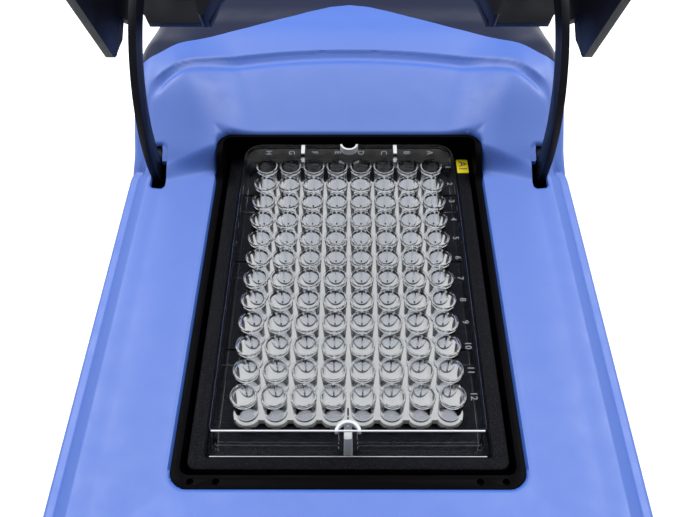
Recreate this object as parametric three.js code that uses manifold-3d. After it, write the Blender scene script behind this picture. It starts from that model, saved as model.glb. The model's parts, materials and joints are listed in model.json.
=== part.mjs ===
// Single-plate orbital microplate shaker with a hinged hood, shown open.
// Millimetres, +Z up, front towards -Y, left towards -X.
// The model's origin is the middle of its footprint on the table.
// Inside the frame group everything is laid out from the centre of the microplate,
// with z = 0 at the tops of its wells.
import * as THREE from "three";
import { mergeVertices } from "three/addons/utils/BufferGeometryUtils.js";
import Module from "manifold-3d";

const { clamp, degToRad, lerp, smoothstep } = THREE.MathUtils;
const wasm = await Module();
wasm.setup();

// ---------------------------------------------------------------- driving dimensions
const PLATE_ABOVE_TABLE = 88; // tops of the wells above the table
const PLATE_TO_CENTRE_Y = -14.5; // plate's centre from the middle of the footprint
const GAP = 0.3; // between neighbouring parts
const SIDES = [-1, 1]; // left, right

const HALF_WIDTH = 86.8; // housing
const FRONT_Y = -143;
const REAR_Y = 170;
const FRONT_CORNER_R = 22;
const REAR_ROUND_FROM = 122;
const REAR_ROUND_LENGTH = 49.5;
const SHELL = 2.4;
const PARTING_Z = -60; // joint between upper and lower housing
const BOTTOM_Z = -83; // underside of the lower housing

const CREST_X = 78.5; // edge the hood closes outside of
const OPEN_X = 52.4; // cut-out over the plate
const OPEN_FRONT = -75.4;
const OPEN_REAR = 67.6;
const OPEN_CORNER_R = 6;

const NEST_TOP = -11;
const NEST_FLOOR = -14.4; // the microplate stands here
const MICROPLATE_LENGTH = 127.76; // along Y
const MICROPLATE_WIDTH = 85.48;
const MICROPLATE_HEIGHT = 14.3;
const WELL_PITCH = 9;

const ORBIT_R = 1.0; // 2 mm orbit
const DRIVE_Y = -ORBIT_R; // main shaft; the crank pin is at y = 0 at rest
const DRIVE_AT = [0, DRIVE_Y];
const SHAFT_R = 3;
const SHAFT_BEARING_R = 8;
const CRANK_BEARING_R = 11;
const IDLER_X = 30;
const IDLER_Y = 44;
const IDLERS = SIDES.flatMap((sideX) => SIDES.map((sideY) => [sideX * IDLER_X, sideY * IDLER_Y]));

const HINGE_Y = 98.8; // hood pivot
const HINGE_Z = 9.3;
const HINGE_BORE_R = 2.8;
const HOOD_OPEN = degToRad(62);

// ---------------------------------------------------------------- helpers
// Ranges are [low, high]; places are [x, y] unless noted.
const both = (half) => [-half, half];
const around = (centre, half) => [centre - half, centre + half];
const inset = ([low, high], by) => [low + by, high - by];
const offset = ([low, high], by) => [low + by, high + by];
const toSide = (side, [near, far]) => (side > 0 ? [near, far] : [-far, -near]);
const mirrorTo = (side, points) => points.map(([x, other]) => [side * x, other]);
// right half of an outline, closed with its mirror image
const symmetric = (half) => [...half, ...mirrorTo(-1, half).reverse()];

function solid(shape) {
  if (!shape.isBufferGeometry) return shape;
  const bare = shape.index ? shape.toNonIndexed() : shape.clone();
  for (const key of Object.keys(bare.attributes)) {
    if (key !== "position") bare.deleteAttribute(key);
  }
  const merged = mergeVertices(bare, 1e-4);
  return new wasm.Manifold(
    new wasm.Mesh({
      numProp: 3,
      vertProperties: new Float32Array(merged.attributes.position.array),
      triVerts: new Uint32Array(merged.index.array),
    }),
  );
}
function geometryOf(shape) {
  if (shape.isBufferGeometry) return shape;
  const mesh = shape.getMesh();
  const positions = new Float32Array(mesh.numVert * 3);
  for (let i = 0; i < mesh.numVert; i++) {
    for (let k = 0; k < 3; k++) {
      positions[i * 3 + k] = mesh.vertProperties[i * mesh.numProp + k];
    }
  }
  const geometry = new THREE.BufferGeometry();
  geometry.setAttribute("position", new THREE.BufferAttribute(positions, 3));
  geometry.setIndex(new THREE.BufferAttribute(new Uint32Array(mesh.triVerts), 1));
  geometry.computeVertexNormals();
  return geometry;
}
const join = (...shapes) => shapes.map(solid).reduce((a, b) => a.add(b));
const cut = (body, ...tools) => tools.map(solid).reduce((a, b) => a.subtract(b), solid(body));
const common = (a, b) => solid(a).intersect(solid(b));

function box([x0, x1], [y0, y1], [z0, z1]) {
  const geometry = new THREE.BoxGeometry(x1 - x0, y1 - y0, z1 - z0);
  return geometry.translate((x0 + x1) / 2, (y0 + y1) / 2, (z0 + z1) / 2);
}
function rod(radius, [z0, z1], [x, y], segments = 24) {
  const geometry = new THREE.CylinderGeometry(radius, radius, z1 - z0, segments);
  return geometry.rotateX(Math.PI / 2).translate(x, y, (z0 + z1) / 2);
}
function rodX(radius, [x0, x1], [y, z], segments = 20) {
  const geometry = new THREE.CylinderGeometry(radius, radius, x1 - x0, segments);
  return geometry.rotateZ(Math.PI / 2).translate((x0 + x1) / 2, y, z);
}
// [radius, z] points turned about a vertical axis
function turned(points, [x, y], segments) {
  const geometry = new THREE.LatheGeometry(points.map(([r, z]) => new THREE.Vector2(r, z)), segments);
  return geometry.rotateX(Math.PI / 2).translate(x, y, 0);
}
function ring(inner, outer, [z0, z1], at, segments) {
  const section = [[inner, z0], [outer, z0], [outer, z1], [inner, z1], [inner, z0]];
  return turned(section, at, segments);
}
function screw({ at, headRadius, headZ, headSegments = 12, shankRadius, shankZ }) {
  return join(rod(headRadius, headZ, at, headSegments), rod(shankRadius, shankZ, at, 8));
}
const poly = (points) => new THREE.Shape(points.map(([x, y]) => new THREE.Vector2(x, y)));
function roundedRect([x0, x1], [y0, y1], r) {
  const shape = new THREE.Shape();
  shape.moveTo(x0 + r, y0);
  shape.lineTo(x1 - r, y0);
  shape.absarc(x1 - r, y0 + r, r, -Math.PI / 2, 0, false);
  shape.lineTo(x1, y1 - r);
  shape.absarc(x1 - r, y1 - r, r, 0, Math.PI / 2, false);
  shape.lineTo(x0 + r, y1);
  shape.absarc(x0 + r, y1 - r, r, Math.PI / 2, Math.PI, false);
  shape.lineTo(x0, y0 + r);
  shape.absarc(x0 + r, y0 + r, r, Math.PI, Math.PI * 1.5, false);
  return shape;
}
function extrude(shape, depth, curveSegments) {
  return new THREE.ExtrudeGeometry(shape, { depth, bevelEnabled: false, curveSegments });
}
const slab = (shape, [z0, z1], curveSegments = 4) =>
  extrude(shape, z1 - z0, curveSegments).translate(0, 0, z0);
// side view drawn in (y, z), extruded along x
function profileX(points, [x0, x1]) {
  const axes = new THREE.Matrix4().makeBasis(
    new THREE.Vector3(0, 1, 0),
    new THREE.Vector3(0, 0, 1),
    new THREE.Vector3(1, 0, 0),
  );
  return extrude(poly(points), x1 - x0).applyMatrix4(axes).translate(x0, 0, 0);
}
// front view drawn in (x, z), extruded along y
const profileY = (points, [y0, y1]) =>
  extrude(poly(points), y1 - y0).rotateX(Math.PI / 2).translate(0, y1, 0);

// ---------------------------------------------------------------- finishes
const FINISH = {
  blueMoulding: { color: 0x7f9bf0, roughness: 0.42 },
  rearCover: { color: 0x252d48, roughness: 0.45 },
  greyMoulding: { color: 0xb9bec9, roughness: 0.5 },
  footRubber: { color: 0x15161a, roughness: 0.85 },
  screwSteel: { color: 0x9a9da3, roughness: 0.35, metalness: 1 },
  wellLiner: { color: 0x05060a, roughness: 0.55 },
  chassis: { color: 0xb8bcc2, roughness: 0.4, metalness: 1 },
  motor: { color: 0x3a3d44, roughness: 0.35, metalness: 0.8 },
  bearing: { color: 0xc9ccd1, roughness: 0.25, metalness: 1 },
  polishedSteel: { color: 0xd2d4d8, roughness: 0.25, metalness: 1 },
  counterweight: { color: 0x8c8f95, roughness: 0.4, metalness: 1 },
  crank: { color: 0xc2c5ca, roughness: 0.3, metalness: 1 },
  carrier: { color: 0xc4c8ce, roughness: 0.4, metalness: 1 },
  heater: { color: 0xb4531f, roughness: 0.7 },
  nest: { color: 0x14161c, roughness: 0.75 },
  sensor: { color: 0xc9ccd1, roughness: 0.3, metalness: 1 },
  label: { color: 0xe6cf00, roughness: 0.45 },
  clearPlate: { color: 0xdfe4e8, roughness: 0.08, transparent: true, opacity: 0.35 },
  hoodShell: { color: 0x0c0e14, roughness: 0.5 },
  hoodLiner: { color: 0x1a1d26, roughness: 0.6 },
  hoodArm: { color: 0x0c0e14, roughness: 0.45 },
  darkSteel: { color: 0x3c3f46, roughness: 0.35, metalness: 1 },
  washer: { color: 0xe9e6dc, roughness: 0.5 },
  bracket: { color: 0xaeb2b9, roughness: 0.4, metalness: 1 },
  overlay: { color: 0x20242e, roughness: 0.4 },
  display: { color: 0x0a1410, roughness: 0.08 },
  circuitBoard: { color: 0x1f5a3a, roughness: 0.6 },
  greenButton: { color: 0x3fae6a, roughness: 0.5 },
  paleButton: { color: 0xd9dde6, roughness: 0.5 },
  powerSupply: { color: 0x2a2d33, roughness: 0.6 },
  mainsPlastic: { color: 0x121317, roughness: 0.5 },
  rocker: { color: 0x1a1b20, roughness: 0.45 },
  hoodSwitch: { color: 0x17181c, roughness: 0.5 },
};

const model = new THREE.Group();
const frame = new THREE.Group(); // laid out from the plate's centre
frame.position.set(0, PLATE_TO_CENTRE_Y, PLATE_ABOVE_TABLE);
model.add(frame);

function part(name, shape, finish, parent = frame) {
  const mesh = new THREE.Mesh(geometryOf(shape), new THREE.MeshStandardMaterial(finish));
  mesh.name = name;
  parent.add(mesh);
}

// ---------------------------------------------------------------- housing outline, from above
function halfWidth(y) {
  if (y < FRONT_Y + FRONT_CORNER_R) {
    const d = FRONT_Y + FRONT_CORNER_R - y;
    return HALF_WIDTH - FRONT_CORNER_R + Math.sqrt(Math.max(0, FRONT_CORNER_R ** 2 - d * d));
  }
  if (y > REAR_ROUND_FROM) {
    const t = (y - REAR_ROUND_FROM) / REAR_ROUND_LENGTH;
    return HALF_WIDTH * Math.cbrt(Math.max(0, 1 - t ** 3));
  }
  return HALF_WIDTH;
}
// stations along y: front corner, straight sides, rounded rear
const OUTLINE_Y = [
  ...Array.from({ length: 9 }, (_, i) => FRONT_Y + FRONT_CORNER_R * (1 - Math.cos((i * Math.PI) / 16))),
  ...Array.from({ length: 5 }, (_, i) => -100 + 50 * i),
  REAR_ROUND_FROM, 129, 135, 141, 147, 152, 156, 159.5, 162.5, 165, 167, 168.7, REAR_Y,
];
const OUTLINE = [[0, FRONT_Y], ...OUTLINE_Y.map((y) => [halfWidth(y), y]), [0, REAR_Y]];

function edgeDistance(ax, y) {
  let best = Infinity;
  for (let i = 0; i + 1 < OUTLINE.length; i++) {
    const [x0, y0] = OUTLINE[i];
    const [x1, y1] = OUTLINE[i + 1];
    const dx = x1 - x0;
    const dy = y1 - y0;
    const t = clamp(((ax - x0) * dx + (y - y0) * dy) / (dx * dx + dy * dy), 0, 1);
    best = Math.min(best, Math.hypot(ax - x0 - t * dx, y - y0 - t * dy));
  }
  return best;
}
// every second station, drawn in by `by`
function footprint(by) {
  const right = OUTLINE_Y.filter((y, i) => i % 2 === 0).map((y) => [
    halfWidth(y) - by,
    clamp(y, FRONT_Y + by, REAR_Y - by),
  ]);
  return poly(symmetric(right));
}

// ---------------------------------------------------------------- housing top surface
// In these functions ax is the distance from the centre plane, |x|.
const DECK_Z = -6.2; // low deck round the cut-out
const DECK_DIP = { depth: 1.6, width: 24, power: 1.5 }; // falls towards the cut-out
const CREST_RISE = 0.5;
const BAND = { topZ: -5.6, slope: 0.7 }; // falls outside the crest
const LEDGE_Z = -9.1; // narrow ledge outside the band
const FRONT_SLOPE = { fromY: -99, slope: 0.95, blend: 5 };
const PANEL_FROM_Y = 66; // raised rear panel starts to climb
const GROOVE = { depth: 1.7, ahead: 3, width: 2.6 }; // in front of the arched ridge
const RIDGE = { height: 0.5, fade: 3, grooveFade: 0.6 };

// Fore-and-aft profiles of the rear: start height, then [y, softness, change of slope]
const CENTRE_PROFILE = {
  start: 0.5,
  bends: [
    [PANEL_FROM_Y, 6, 0.29], [103, 6, -0.14], [116, 5, -0.16], [125, 5, -0.22], [146, 4, 0.18],
  ],
};
const BULGE_PROFILE = {
  start: -2.8,
  bends: [[53.5, 2, 0.56], [87, 8, -0.54], [106, 6, -0.28], [130, 6, 0.1]],
};

// ramp that starts softly over about `width` and is zero well before that
const softRamp = (t, width) =>
  0.5 * (t + Math.sqrt(t * t + width * width)) - 0.5 * width * Math.exp(-((t / (2 * width)) ** 2));
const bentProfile = ({ start, bends }, y) =>
  bends.reduce((z, [at, softness, slope]) => z + softRamp(y - at, softness) * slope, start);

function frontDrop(y) {
  const { fromY, slope, blend } = FRONT_SLOPE;
  const ahead = fromY - y;
  return ahead > 0 ? slope * (Math.sqrt(ahead * ahead + blend * blend) - blend) : 0;
}
// low deck, crest along each side, and outside it a band falling to the ledge
function deckHeight(ax, y) {
  if (ax > CREST_X) {
    const band = Math.max(BAND.topZ - (ax - CREST_X) * BAND.slope, LEDGE_Z);
    return lerp(band, BAND.topZ, smoothstep(-y, 100, 118));
  }
  const off = Math.max(ax - OPEN_X, OPEN_FRONT - y, y - OPEN_REAR, 0);
  const dip = DECK_DIP.depth * (1 - smoothstep(off, 0, DECK_DIP.width)) ** DECK_DIP.power;
  return DECK_Z - dip + CREST_RISE * smoothstep(ax, 72, 78);
}
// shallow groove and arched ridge across the raised panel
function ridgeHeight(ax, y) {
  const ridgeY = 106.5 - 0.0017 * ax * ax - 0.047 * Math.max(0, ax - 50) ** 1.7;
  const behind = y - ridgeY;
  const { depth, ahead, width } = GROOVE;
  const wave =
    behind < 0
      ? -depth * Math.exp(-(((behind + ahead) / width) ** 2))
      : RIDGE.height * Math.exp(-behind / RIDGE.fade) -
        depth * Math.exp(-((ahead / width) ** 2)) * Math.exp(-behind / RIDGE.grooveFade);
  return wave * (1 - smoothstep(ax, 74, 80));
}
// raised rear panel between two bulges, with a valley between panel and bulge
function rearHeight(ax, y) {
  const centre = bentProfile(CENTRE_PROFILE, y) - Math.max(0, y - 158) ** 2 * 0.01;
  const valleyX = 50 + (y - PANEL_FROM_Y) * 0.3;
  const far = smoothstep(y, 118, 140); // the bulges die out towards the back
  const toBulge = lerp(smoothstep(ax, valleyX - 15, valleyX + 13), smoothstep(ax, 50, 80), far);
  const fullBulge = bentProfile(BULGE_PROFILE, y);
  const bulge = lerp(fullBulge, Math.min(fullBulge, centre), far);
  let z = lerp(centre, bulge, toBulge);
  const uncapped = Math.max(smoothstep(y, 62, 70), smoothstep(ax, valleyX - 3, valleyX + 3));
  z = lerp(Math.min(z, 0.2), z, uncapped);
  z += ridgeHeight(ax, y);
  const outer = Math.min(LEDGE_Z + Math.max(0, y - 55) * 0.9, z);
  return lerp(z, outer, smoothstep(ax, 77.5, 82.5) * (1 - smoothstep(y, 78, 92)));
}
function surface(x, y) {
  const ax = Math.abs(x);
  const stepY = 48.2 + (71 - clamp(ax, 52, 71)) * 0.4;
  const stepUp = lerp(
    smoothstep(y - stepY, -0.8, 5.8),
    smoothstep(y, 50, 54),
    smoothstep(ax, 77.5, 79.5),
  );
  const z = lerp(deckHeight(ax, y), rearHeight(ax, y), stepUp) - frontDrop(y);
  // rounded edge along the outline, larger at the rear and the front
  const r =
    1.6 + 6.4 * smoothstep(y, 50, 66) + 6 * smoothstep(y, 135, 160) + 7.4 * smoothstep(-y, 100, 125);
  const d = edgeDistance(ax, y);
  return d < r ? z - r * (1 - Math.sqrt(Math.max(0, 1 - (1 - d / r) ** 2))) : z;
}

// ---------------------------------------------------------------- housing body
// Grid stations of the outside and the inside: x across one half, y from front to rear
const OUTER_GRID = {
  x: [0, 28, 48, 54, 60, 65, 70, 74, 77.5, CREST_X, 81, 83.4, 85.6, HALF_WIDTH],
  y: [
    FRONT_Y, -142, -139, -134, -128, -120, -110, -103, -98, -76, -20, 44, 49, 51, 54, 58, 63, 69,
    76, 83, 89, 93, 97, 101, 104.5, 108, 114, 121, 129, 137, 144, 150, 155, 159, 162.5, 165.5,
    168, REAR_Y,
  ],
};
const INNER_GRID = {
  x: [0, 40, 54, 61, 67, 74, CREST_X, 83, HALF_WIDTH],
  y: [
    FRONT_Y, -141, -134, -124, -112, -103, -90, -40, 44, 50, 55, 62, 70, 78, 86, 94, 102, 112,
    124, 136, 147, 155, 161, 165.5, 168, REAR_Y,
  ],
};

// closed body under the surface, drawn in and lowered by `by`
function housingBody(by, bottomZ, grid) {
  const lowY = FRONT_Y + by;
  const highY = REAR_Y - by;
  const ys = grid.y
    .map((y) => clamp(y, lowY, highY))
    .filter((y, i, all) => i === 0 || y - all[i - 1] > 0.25);
  ys[ys.length - 1] = highY;
  const xs = [...mirrorTo(-1, grid.x.slice(1).reverse().map((x) => [x])).map(([x]) => x), ...grid.x];
  // y on the full outline that belongs to y on the drawn-in one
  const onOutline = (y) => {
    if (y < FRONT_Y + FRONT_CORNER_R) return y - by * (1 - (y - lowY) / FRONT_CORNER_R);
    if (y > REAR_ROUND_FROM) return y + by * ((y - REAR_ROUND_FROM) / (highY - REAR_ROUND_FROM));
    return y;
  };
  const count = xs.length;
  const positions = [];
  for (const y of ys) {
    const width = halfWidth(clamp(onOutline(y), FRONT_Y, REAR_Y)) - by;
    for (const station of xs) {
      const x = (station / HALF_WIDTH) * width;
      positions.push(x, y, Math.max(surface(x, y) - by, bottomZ + 1));
    }
  }
  const bottomStart = positions.length / 3;
  ys.forEach((y, j) => {
    const leftX = positions[j * count * 3];
    const rightX = positions[(j * count + count - 1) * 3];
    positions.push(leftX, y, bottomZ, rightX, y, bottomZ);
  });

  const top = (j, i) => j * count + i;
  const left = (j) => bottomStart + 2 * j;
  const right = (j) => bottomStart + 2 * j + 1;
  const last = count - 1;
  const index = [];
  for (let j = 0; j + 1 < ys.length; j++) {
    for (let i = 0; i + 1 < count; i++) {
      index.push(top(j, i), top(j, i + 1), top(j + 1, i + 1));
      index.push(top(j, i), top(j + 1, i + 1), top(j + 1, i));
    }
    index.push(left(j), top(j, 0), top(j + 1, 0), left(j), top(j + 1, 0), left(j + 1));
    index.push(right(j), top(j + 1, last), top(j, last));
    index.push(right(j), right(j + 1), top(j + 1, last));
    index.push(left(j), right(j + 1), right(j), left(j), left(j + 1), right(j + 1));
  }
  const end = ys.length - 1;
  for (let i = 0; i + 1 < count; i++) {
    index.push(left(0), top(0, i + 1), top(0, i));
    index.push(left(end), top(end, i), top(end, i + 1));
  }
  index.push(left(0), right(0), top(0, last));
  index.push(left(end), top(end, last), right(end));
  const geometry = new THREE.BufferGeometry();
  geometry.setAttribute("position", new THREE.Float32BufferAttribute(positions, 3));
  geometry.setIndex(index);
  return geometry;
}

// ---------------------------------------------------------------- sloping control panel's frame
const PANEL_Y = -124.5;
const PANEL_TILT = degToRad(43);
const panelMatrix = new THREE.Matrix4()
  .makeRotationX(PANEL_TILT)
  .setPosition(0, PANEL_Y, DECK_Z - frontDrop(PANEL_Y));
const onPanel = (shape) => geometryOf(shape).applyMatrix4(panelMatrix);
// name, place on the panel
const BUTTONS = [
  ["button_mode", [-44, 0]],
  ["button_down", [40, -6.5]],
  ["button_up", [40, 6.5]],
  ["button_start_stop", [54, 0]],
];
const WINDOW_X = [-32, 28];
const WINDOW_Y = both(10);

// ---------------------------------------------------------------- upper housing and rear cover
const INLET_HOLE_X = [-28.2, -0.2];
const SWITCH_HOLE_X = [9.8, 24.2];
const MAINS_HOLE_Z = [-48.2, -27.8];
const SCREW_POSTS = [[-74, -112], [74, -112], [-66, 126], [66, 126]];
// arched seam between the blue moulding and the dark rear cover, right half: x, y
const SEAM = [
  [0, 147], [9, 145], [17.5, 139.5], [26, 132.5], [35, 126], [43, 121.5], [51, 118],
  [57, 115.3], [62, 112.8], [67, 109.6], [70.5, 106.2], [74, 101.8], [78, 97.3], [82, 94],
  [88, 90.5], [95, 88],
];
const SEAM_END_X = 95;

// everything between the seam, moved back by `shift`, and a straight line at endY
function seamBlock(shift, endY) {
  const right = SEAM.map(([x, y]) => [x, y + shift]);
  const line = [...mirrorTo(-1, right.slice(1)).reverse(), ...right];
  return slab(poly([...line, [SEAM_END_X, endY], [-SEAM_END_X, endY]]), [-200, 60]);
}
// slot for a hood arm, and the moulding thinned from inside over the hinge and the arm
function hingeCuts(side) {
  const thinning = (x, y, topZ) => box(toSide(side, x), y, [-25, topZ]);
  return [
    slab(roundedRect(toSide(side, [71.4, 77.2]), [43.8, 61], 2), [-20, 14], 3),
    thinning([67.8, 82.2], [91.5, 106], 13.2),
    thinning([73.2, 77.1], [91, 106], 14.6),
    thinning([73.2, 77.1], [58, 66], -0.2),
  ];
}
function upperShell() {
  const outer = housingBody(0, PARTING_Z + GAP, OUTER_GRID);
  const inner = housingBody(SHELL, PARTING_Z - 4, INNER_GRID);
  const posts = join(...SCREW_POSTS.map((at) => rod(4.5, [PARTING_Z + GAP, 30], at, 14)));
  const opening = roundedRect(both(OPEN_X), [OPEN_FRONT, OPEN_REAR], OPEN_CORNER_R);
  const panelDepth = both(9);
  const mainsDepth = [REAR_Y - 8, REAR_Y + 3];
  return cut(
    join(cut(outer, inner), common(posts, outer)),
    ...SCREW_POSTS.map((at) => rod(1.8, [PARTING_Z - 1, PARTING_Z + 14], at, 10)),
    slab(opening, both(40)),
    ...SIDES.flatMap(hingeCuts),
    onPanel(box(inset(WINDOW_X, 3), inset(WINDOW_Y, 2.5), panelDepth)),
    ...BUTTONS.map(([, at]) => onPanel(rod(4.6, panelDepth, at, 16))),
    box(INLET_HOLE_X, mainsDepth, MAINS_HOLE_Z),
    box(SWITCH_HOLE_X, mainsDepth, MAINS_HOLE_Z),
  );
}
const shell = upperShell();
part("upper_housing", common(shell, seamBlock(0, -200)), FINISH.blueMoulding);
part("rear_cover", common(shell, seamBlock(GAP, 300)), FINISH.rearCover);

// ---------------------------------------------------------------- lower housing, feet, screws
const CHASSIS_POSTS = [[-50, -57], [50, -57], [-50, 57], [50, 57]];
const SLOT_Z = [BOTTOM_Z - 1, BOTTOM_Z + 4];

function lowerHousing() {
  const tray = cut(
    slab(footprint(0.3), [BOTTOM_Z, PARTING_Z]),
    slab(footprint(3.0), [BOTTOM_Z + 3, PARTING_Z + 5]),
  );
  return cut(
    join(
      tray,
      ...SCREW_POSTS.map((at) => rod(5, [BOTTOM_Z + 1, PARTING_Z], at, 14)),
      ...CHASSIS_POSTS.map((at) => rod(4, [BOTTOM_Z + 1, -62.5], at, 12)),
    ),
    ...SCREW_POSTS.flatMap((at) => [
      rod(1.9, [BOTTOM_Z - 1, PARTING_Z + 1], at, 10),
      rod(3.5, [BOTTOM_Z - 1, BOTTOM_Z + 9], at, 14),
    ]),
    ...CHASSIS_POSTS.map((at) => rod(1.6, [-74, -62], at, 8)),
    ...[-2, -1, 0, 1, 2].map((i) => box(around(i * 9, 1.5), [82, 116], SLOT_Z)),
    ...[-30, 30].map((x) => box(around(x, 12), [-98, -95], SLOT_Z)),
  );
}
part("lower_housing", lowerHousing(), FINISH.greyMoulding);

const FEET = {
  foot_front_left: [-70, -90],
  foot_front_right: [70, -90],
  foot_rear_left: [-70, 100],
  foot_rear_right: [70, 100],
};
// radius, z
const FOOT_SECTION = [
  [0, -PLATE_ABOVE_TABLE],
  [7.5, -PLATE_ABOVE_TABLE],
  [9, BOTTOM_Z - 3.6],
  [9, BOTTOM_Z - GAP],
  [0, BOTTOM_Z - GAP],
];
for (const [name, at] of Object.entries(FEET)) {
  part(name, turned(FOOT_SECTION, at, 20), FINISH.footRubber);
}
SCREW_POSTS.forEach((at, i) => {
  const shape = screw({
    at,
    headRadius: 3,
    headZ: [BOTTOM_Z + 6.2, BOTTOM_Z + 8.7],
    shankRadius: 1.5,
    shankZ: [BOTTOM_Z + 8.5, PARTING_Z + 12],
  });
  part("housing_screw_" + (i + 1), shape, FINISH.screwSteel);
});

// ---------------------------------------------------------------- black liner round the opening
// what is cut off above the rim: it lies below the housing's edge and steps up at the rear; y, z
const RIM_CUT = [
  [-90, -8.9], [49.5, -8.9], [57.5, -1.2], [59, -0.5], [62, 0.0], [70, 0.2], [70, 9], [-90, 9],
];
// bevelled front edge of the rim: y, z
const RIM_BEVEL = [[-80, -8.2], [-73.6, -8.2], [-75.4, -10.2], [-80, -10.2]];

function rimDimple(x) {
  const oval = new THREE.Shape();
  oval.absellipse(x, -73.0, 1.5, 0.8, 0, Math.PI * 2, false);
  return slab(oval, [-10.6, -7], 2);
}
function wellLiner() {
  const outline = roundedRect(
    both(OPEN_X - GAP),
    inset([OPEN_FRONT, OPEN_REAR], GAP),
    OPEN_CORNER_R - GAP,
  );
  return cut(
    slab(outline, [-30, 4]),
    slab(roundedRect(both(49.7), [-70.9, 66.0], 3), [-28.4, 6], 3),
    slab(roundedRect(both(41), [-58, 57], 6), [-32, -20], 3),
    profileX(RIM_CUT, both(60)),
    profileX(RIM_BEVEL, both(60)),
    ...[-46, -38.5, 38.5, 46].map(rimDimple),
  );
}
part("well_liner", wellLiner(), FINISH.wellLiner);

// ---------------------------------------------------------------- chassis and motor
function chassisPlate() {
  const idlerShafts = IDLERS.map(([x, y]) => [x, y + DRIVE_Y]);
  return cut(
    join(
      box(both(56), both(64), [-62.2, -60.2]),
      ...idlerShafts.map((at) => rod(5, [-61, -38.5], at, 12)),
      rod(13, [-61, -57], DRIVE_AT),
    ),
    ...idlerShafts.map((at) => rod(2.35, [-52, -36], at, 12)),
    rod(SHAFT_BEARING_R + GAP, [-64, -56], DRIVE_AT),
    ...CHASSIS_POSTS.map((at) => rod(1.9, [-64, -59], at, 10)),
  );
}
part("chassis_plate", chassisPlate(), FINISH.chassis);
CHASSIS_POSTS.forEach((at, i) => {
  const shape = screw({
    at,
    headRadius: 2.8,
    headZ: [-59.9, -57.7],
    headSegments: 10,
    shankRadius: 1.3,
    shankZ: [-72, -59.8],
  });
  part("chassis_screw_" + (i + 1), shape, FINISH.screwSteel);
});
part(
  "motor",
  cut(
    join(rod(19, [-79.5, -62.6], DRIVE_AT), box(both(12), [15, 26], [-78, -66])),
    rod(3.4, [-70, -60], DRIVE_AT, 16),
  ),
  FINISH.motor,
);
part(
  "shaft_bearing",
  ring(SHAFT_R + GAP, SHAFT_BEARING_R, [-62.2, -57.2], DRIVE_AT, 20),
  FINISH.bearing,
);

// ---------------------------------------------------------------- crank, turning with the shaft
part("motor_shaft", rod(SHAFT_R, [-69.5, -34], DRIVE_AT, 16), FINISH.polishedSteel);

// nearly a half-disc towards the front, with a small round hub
function counterweight() {
  const hubR = 9;
  const shape = new THREE.Shape();
  shape.absarc(0, 0, 27, Math.PI * 1.04, Math.PI * 1.96, false);
  shape.lineTo(hubR, -1);
  shape.absarc(0, 0, hubR, 0, Math.PI, false);
  const bore = new THREE.Path();
  bore.absarc(0, 0, SHAFT_R + GAP, 0, Math.PI * 2, true);
  shape.holes.push(bore);
  return slab(shape, [-55.5, -41], 8).translate(0, DRIVE_Y, 0);
}
part("counterweight", counterweight(), FINISH.counterweight);
part(
  "drive_crank",
  cut(
    join(rod(11, [-40.6, -31], DRIVE_AT), rod(3.7, [-31.2, -20.8], [0, 0], 16)),
    rod(SHAFT_R + GAP, [-42, -33.6], DRIVE_AT, 16),
  ),
  FINISH.crank,
);

// idler cranks keep the platform square to the chassis
IDLERS.forEach(([x, y], i) => {
  const shaftAt = [x, y + DRIVE_Y];
  const shape = join(
    rod(2, [-51, -37.6], shaftAt, 10),
    rod(6, [-38, -33], shaftAt, 14),
    rod(2, [-33.4, -21.2], [x, y], 10),
  );
  part("idler_crank_" + (i + 1), shape, FINISH.crank);
});

// ---------------------------------------------------------------- orbiting platform
const CARRIER_Z = [-26.4, -20.6];
part(
  "carrier_plate",
  cut(
    slab(roundedRect(both(48.2), [-68.2, 65.4], 3), CARRIER_Z, 3),
    rod(CRANK_BEARING_R + GAP, [-30, -18], [0, 0]),
    ...IDLERS.map((at) => rod(2.6, [-30, -18], at, 14)),
  ),
  FINISH.carrier,
);
part("crank_bearing", ring(4, CRANK_BEARING_R, CARRIER_Z, [0, 0], 20), FINISH.bearing);
part("heater_mat", box(both(44), [-62, 56], [-20.3, -18.8]), FINISH.heater);

const NEST_PLAY = 0.45; // round the microplate
part(
  "plate_nest",
  cut(
    slab(roundedRect(both(48.3), [-68.3, 65.5], 3), [-18.5, NEST_TOP], 3),
    box(
      both(MICROPLATE_WIDTH / 2 + NEST_PLAY),
      both(MICROPLATE_LENGTH / 2 + NEST_PLAY),
      [NEST_FLOOR, 0],
    ),
  ),
  FINISH.nest,
);
part("temperature_sensor", rodX(1.4, [-20, 6], [-20, -28.3], 10), FINISH.sensor);
part("a1_label", box([43.5, 48.1], [56.8, 64.4], [NEST_TOP + 0.05, NEST_TOP + 0.35]), FINISH.label);

// ---------------------------------------------------------------- microplate, 96 wells
function microplate() {
  const rimInset = 1.6; // upper part, inside the base flange
  const x = both(MICROPLATE_WIDTH / 2);
  const y = both(MICROPLATE_LENGTH / 2);
  const wells = [];
  for (let row = 0; row < 12; row++) {
    for (let column = 0; column < 8; column++) {
      const at = [(column - 3.5) * WELL_PITCH, (row - 5.5) * WELL_PITCH];
      wells.push(rod(3.4, [-10.9, 2], at, 6));
    }
  }
  return cut(
    join(
      slab(roundedRect(x, y, 3), [-MICROPLATE_HEIGHT, -11.6], 3),
      slab(roundedRect(inset(x, rimInset), inset(y, rimInset), 5), [-12, 0], 3),
    ),
    ...wells,
  );
}
part("microplate", microplate(), FINISH.clearPlate);

// ---------------------------------------------------------------- hood
// Drawn closed in the frame's coordinates, moved to its pivot, then opened with its group.
const hood = new THREE.Group();
hood.position.set(0, HINGE_Y, HINGE_Z);
hood.rotation.x = -HOOD_OPEN;
frame.add(hood);
const hoodPart = (name, shape, finish) =>
  part(name, geometryOf(shape).translate(0, -HINGE_Y, -HINGE_Z), finish, hood);

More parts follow.
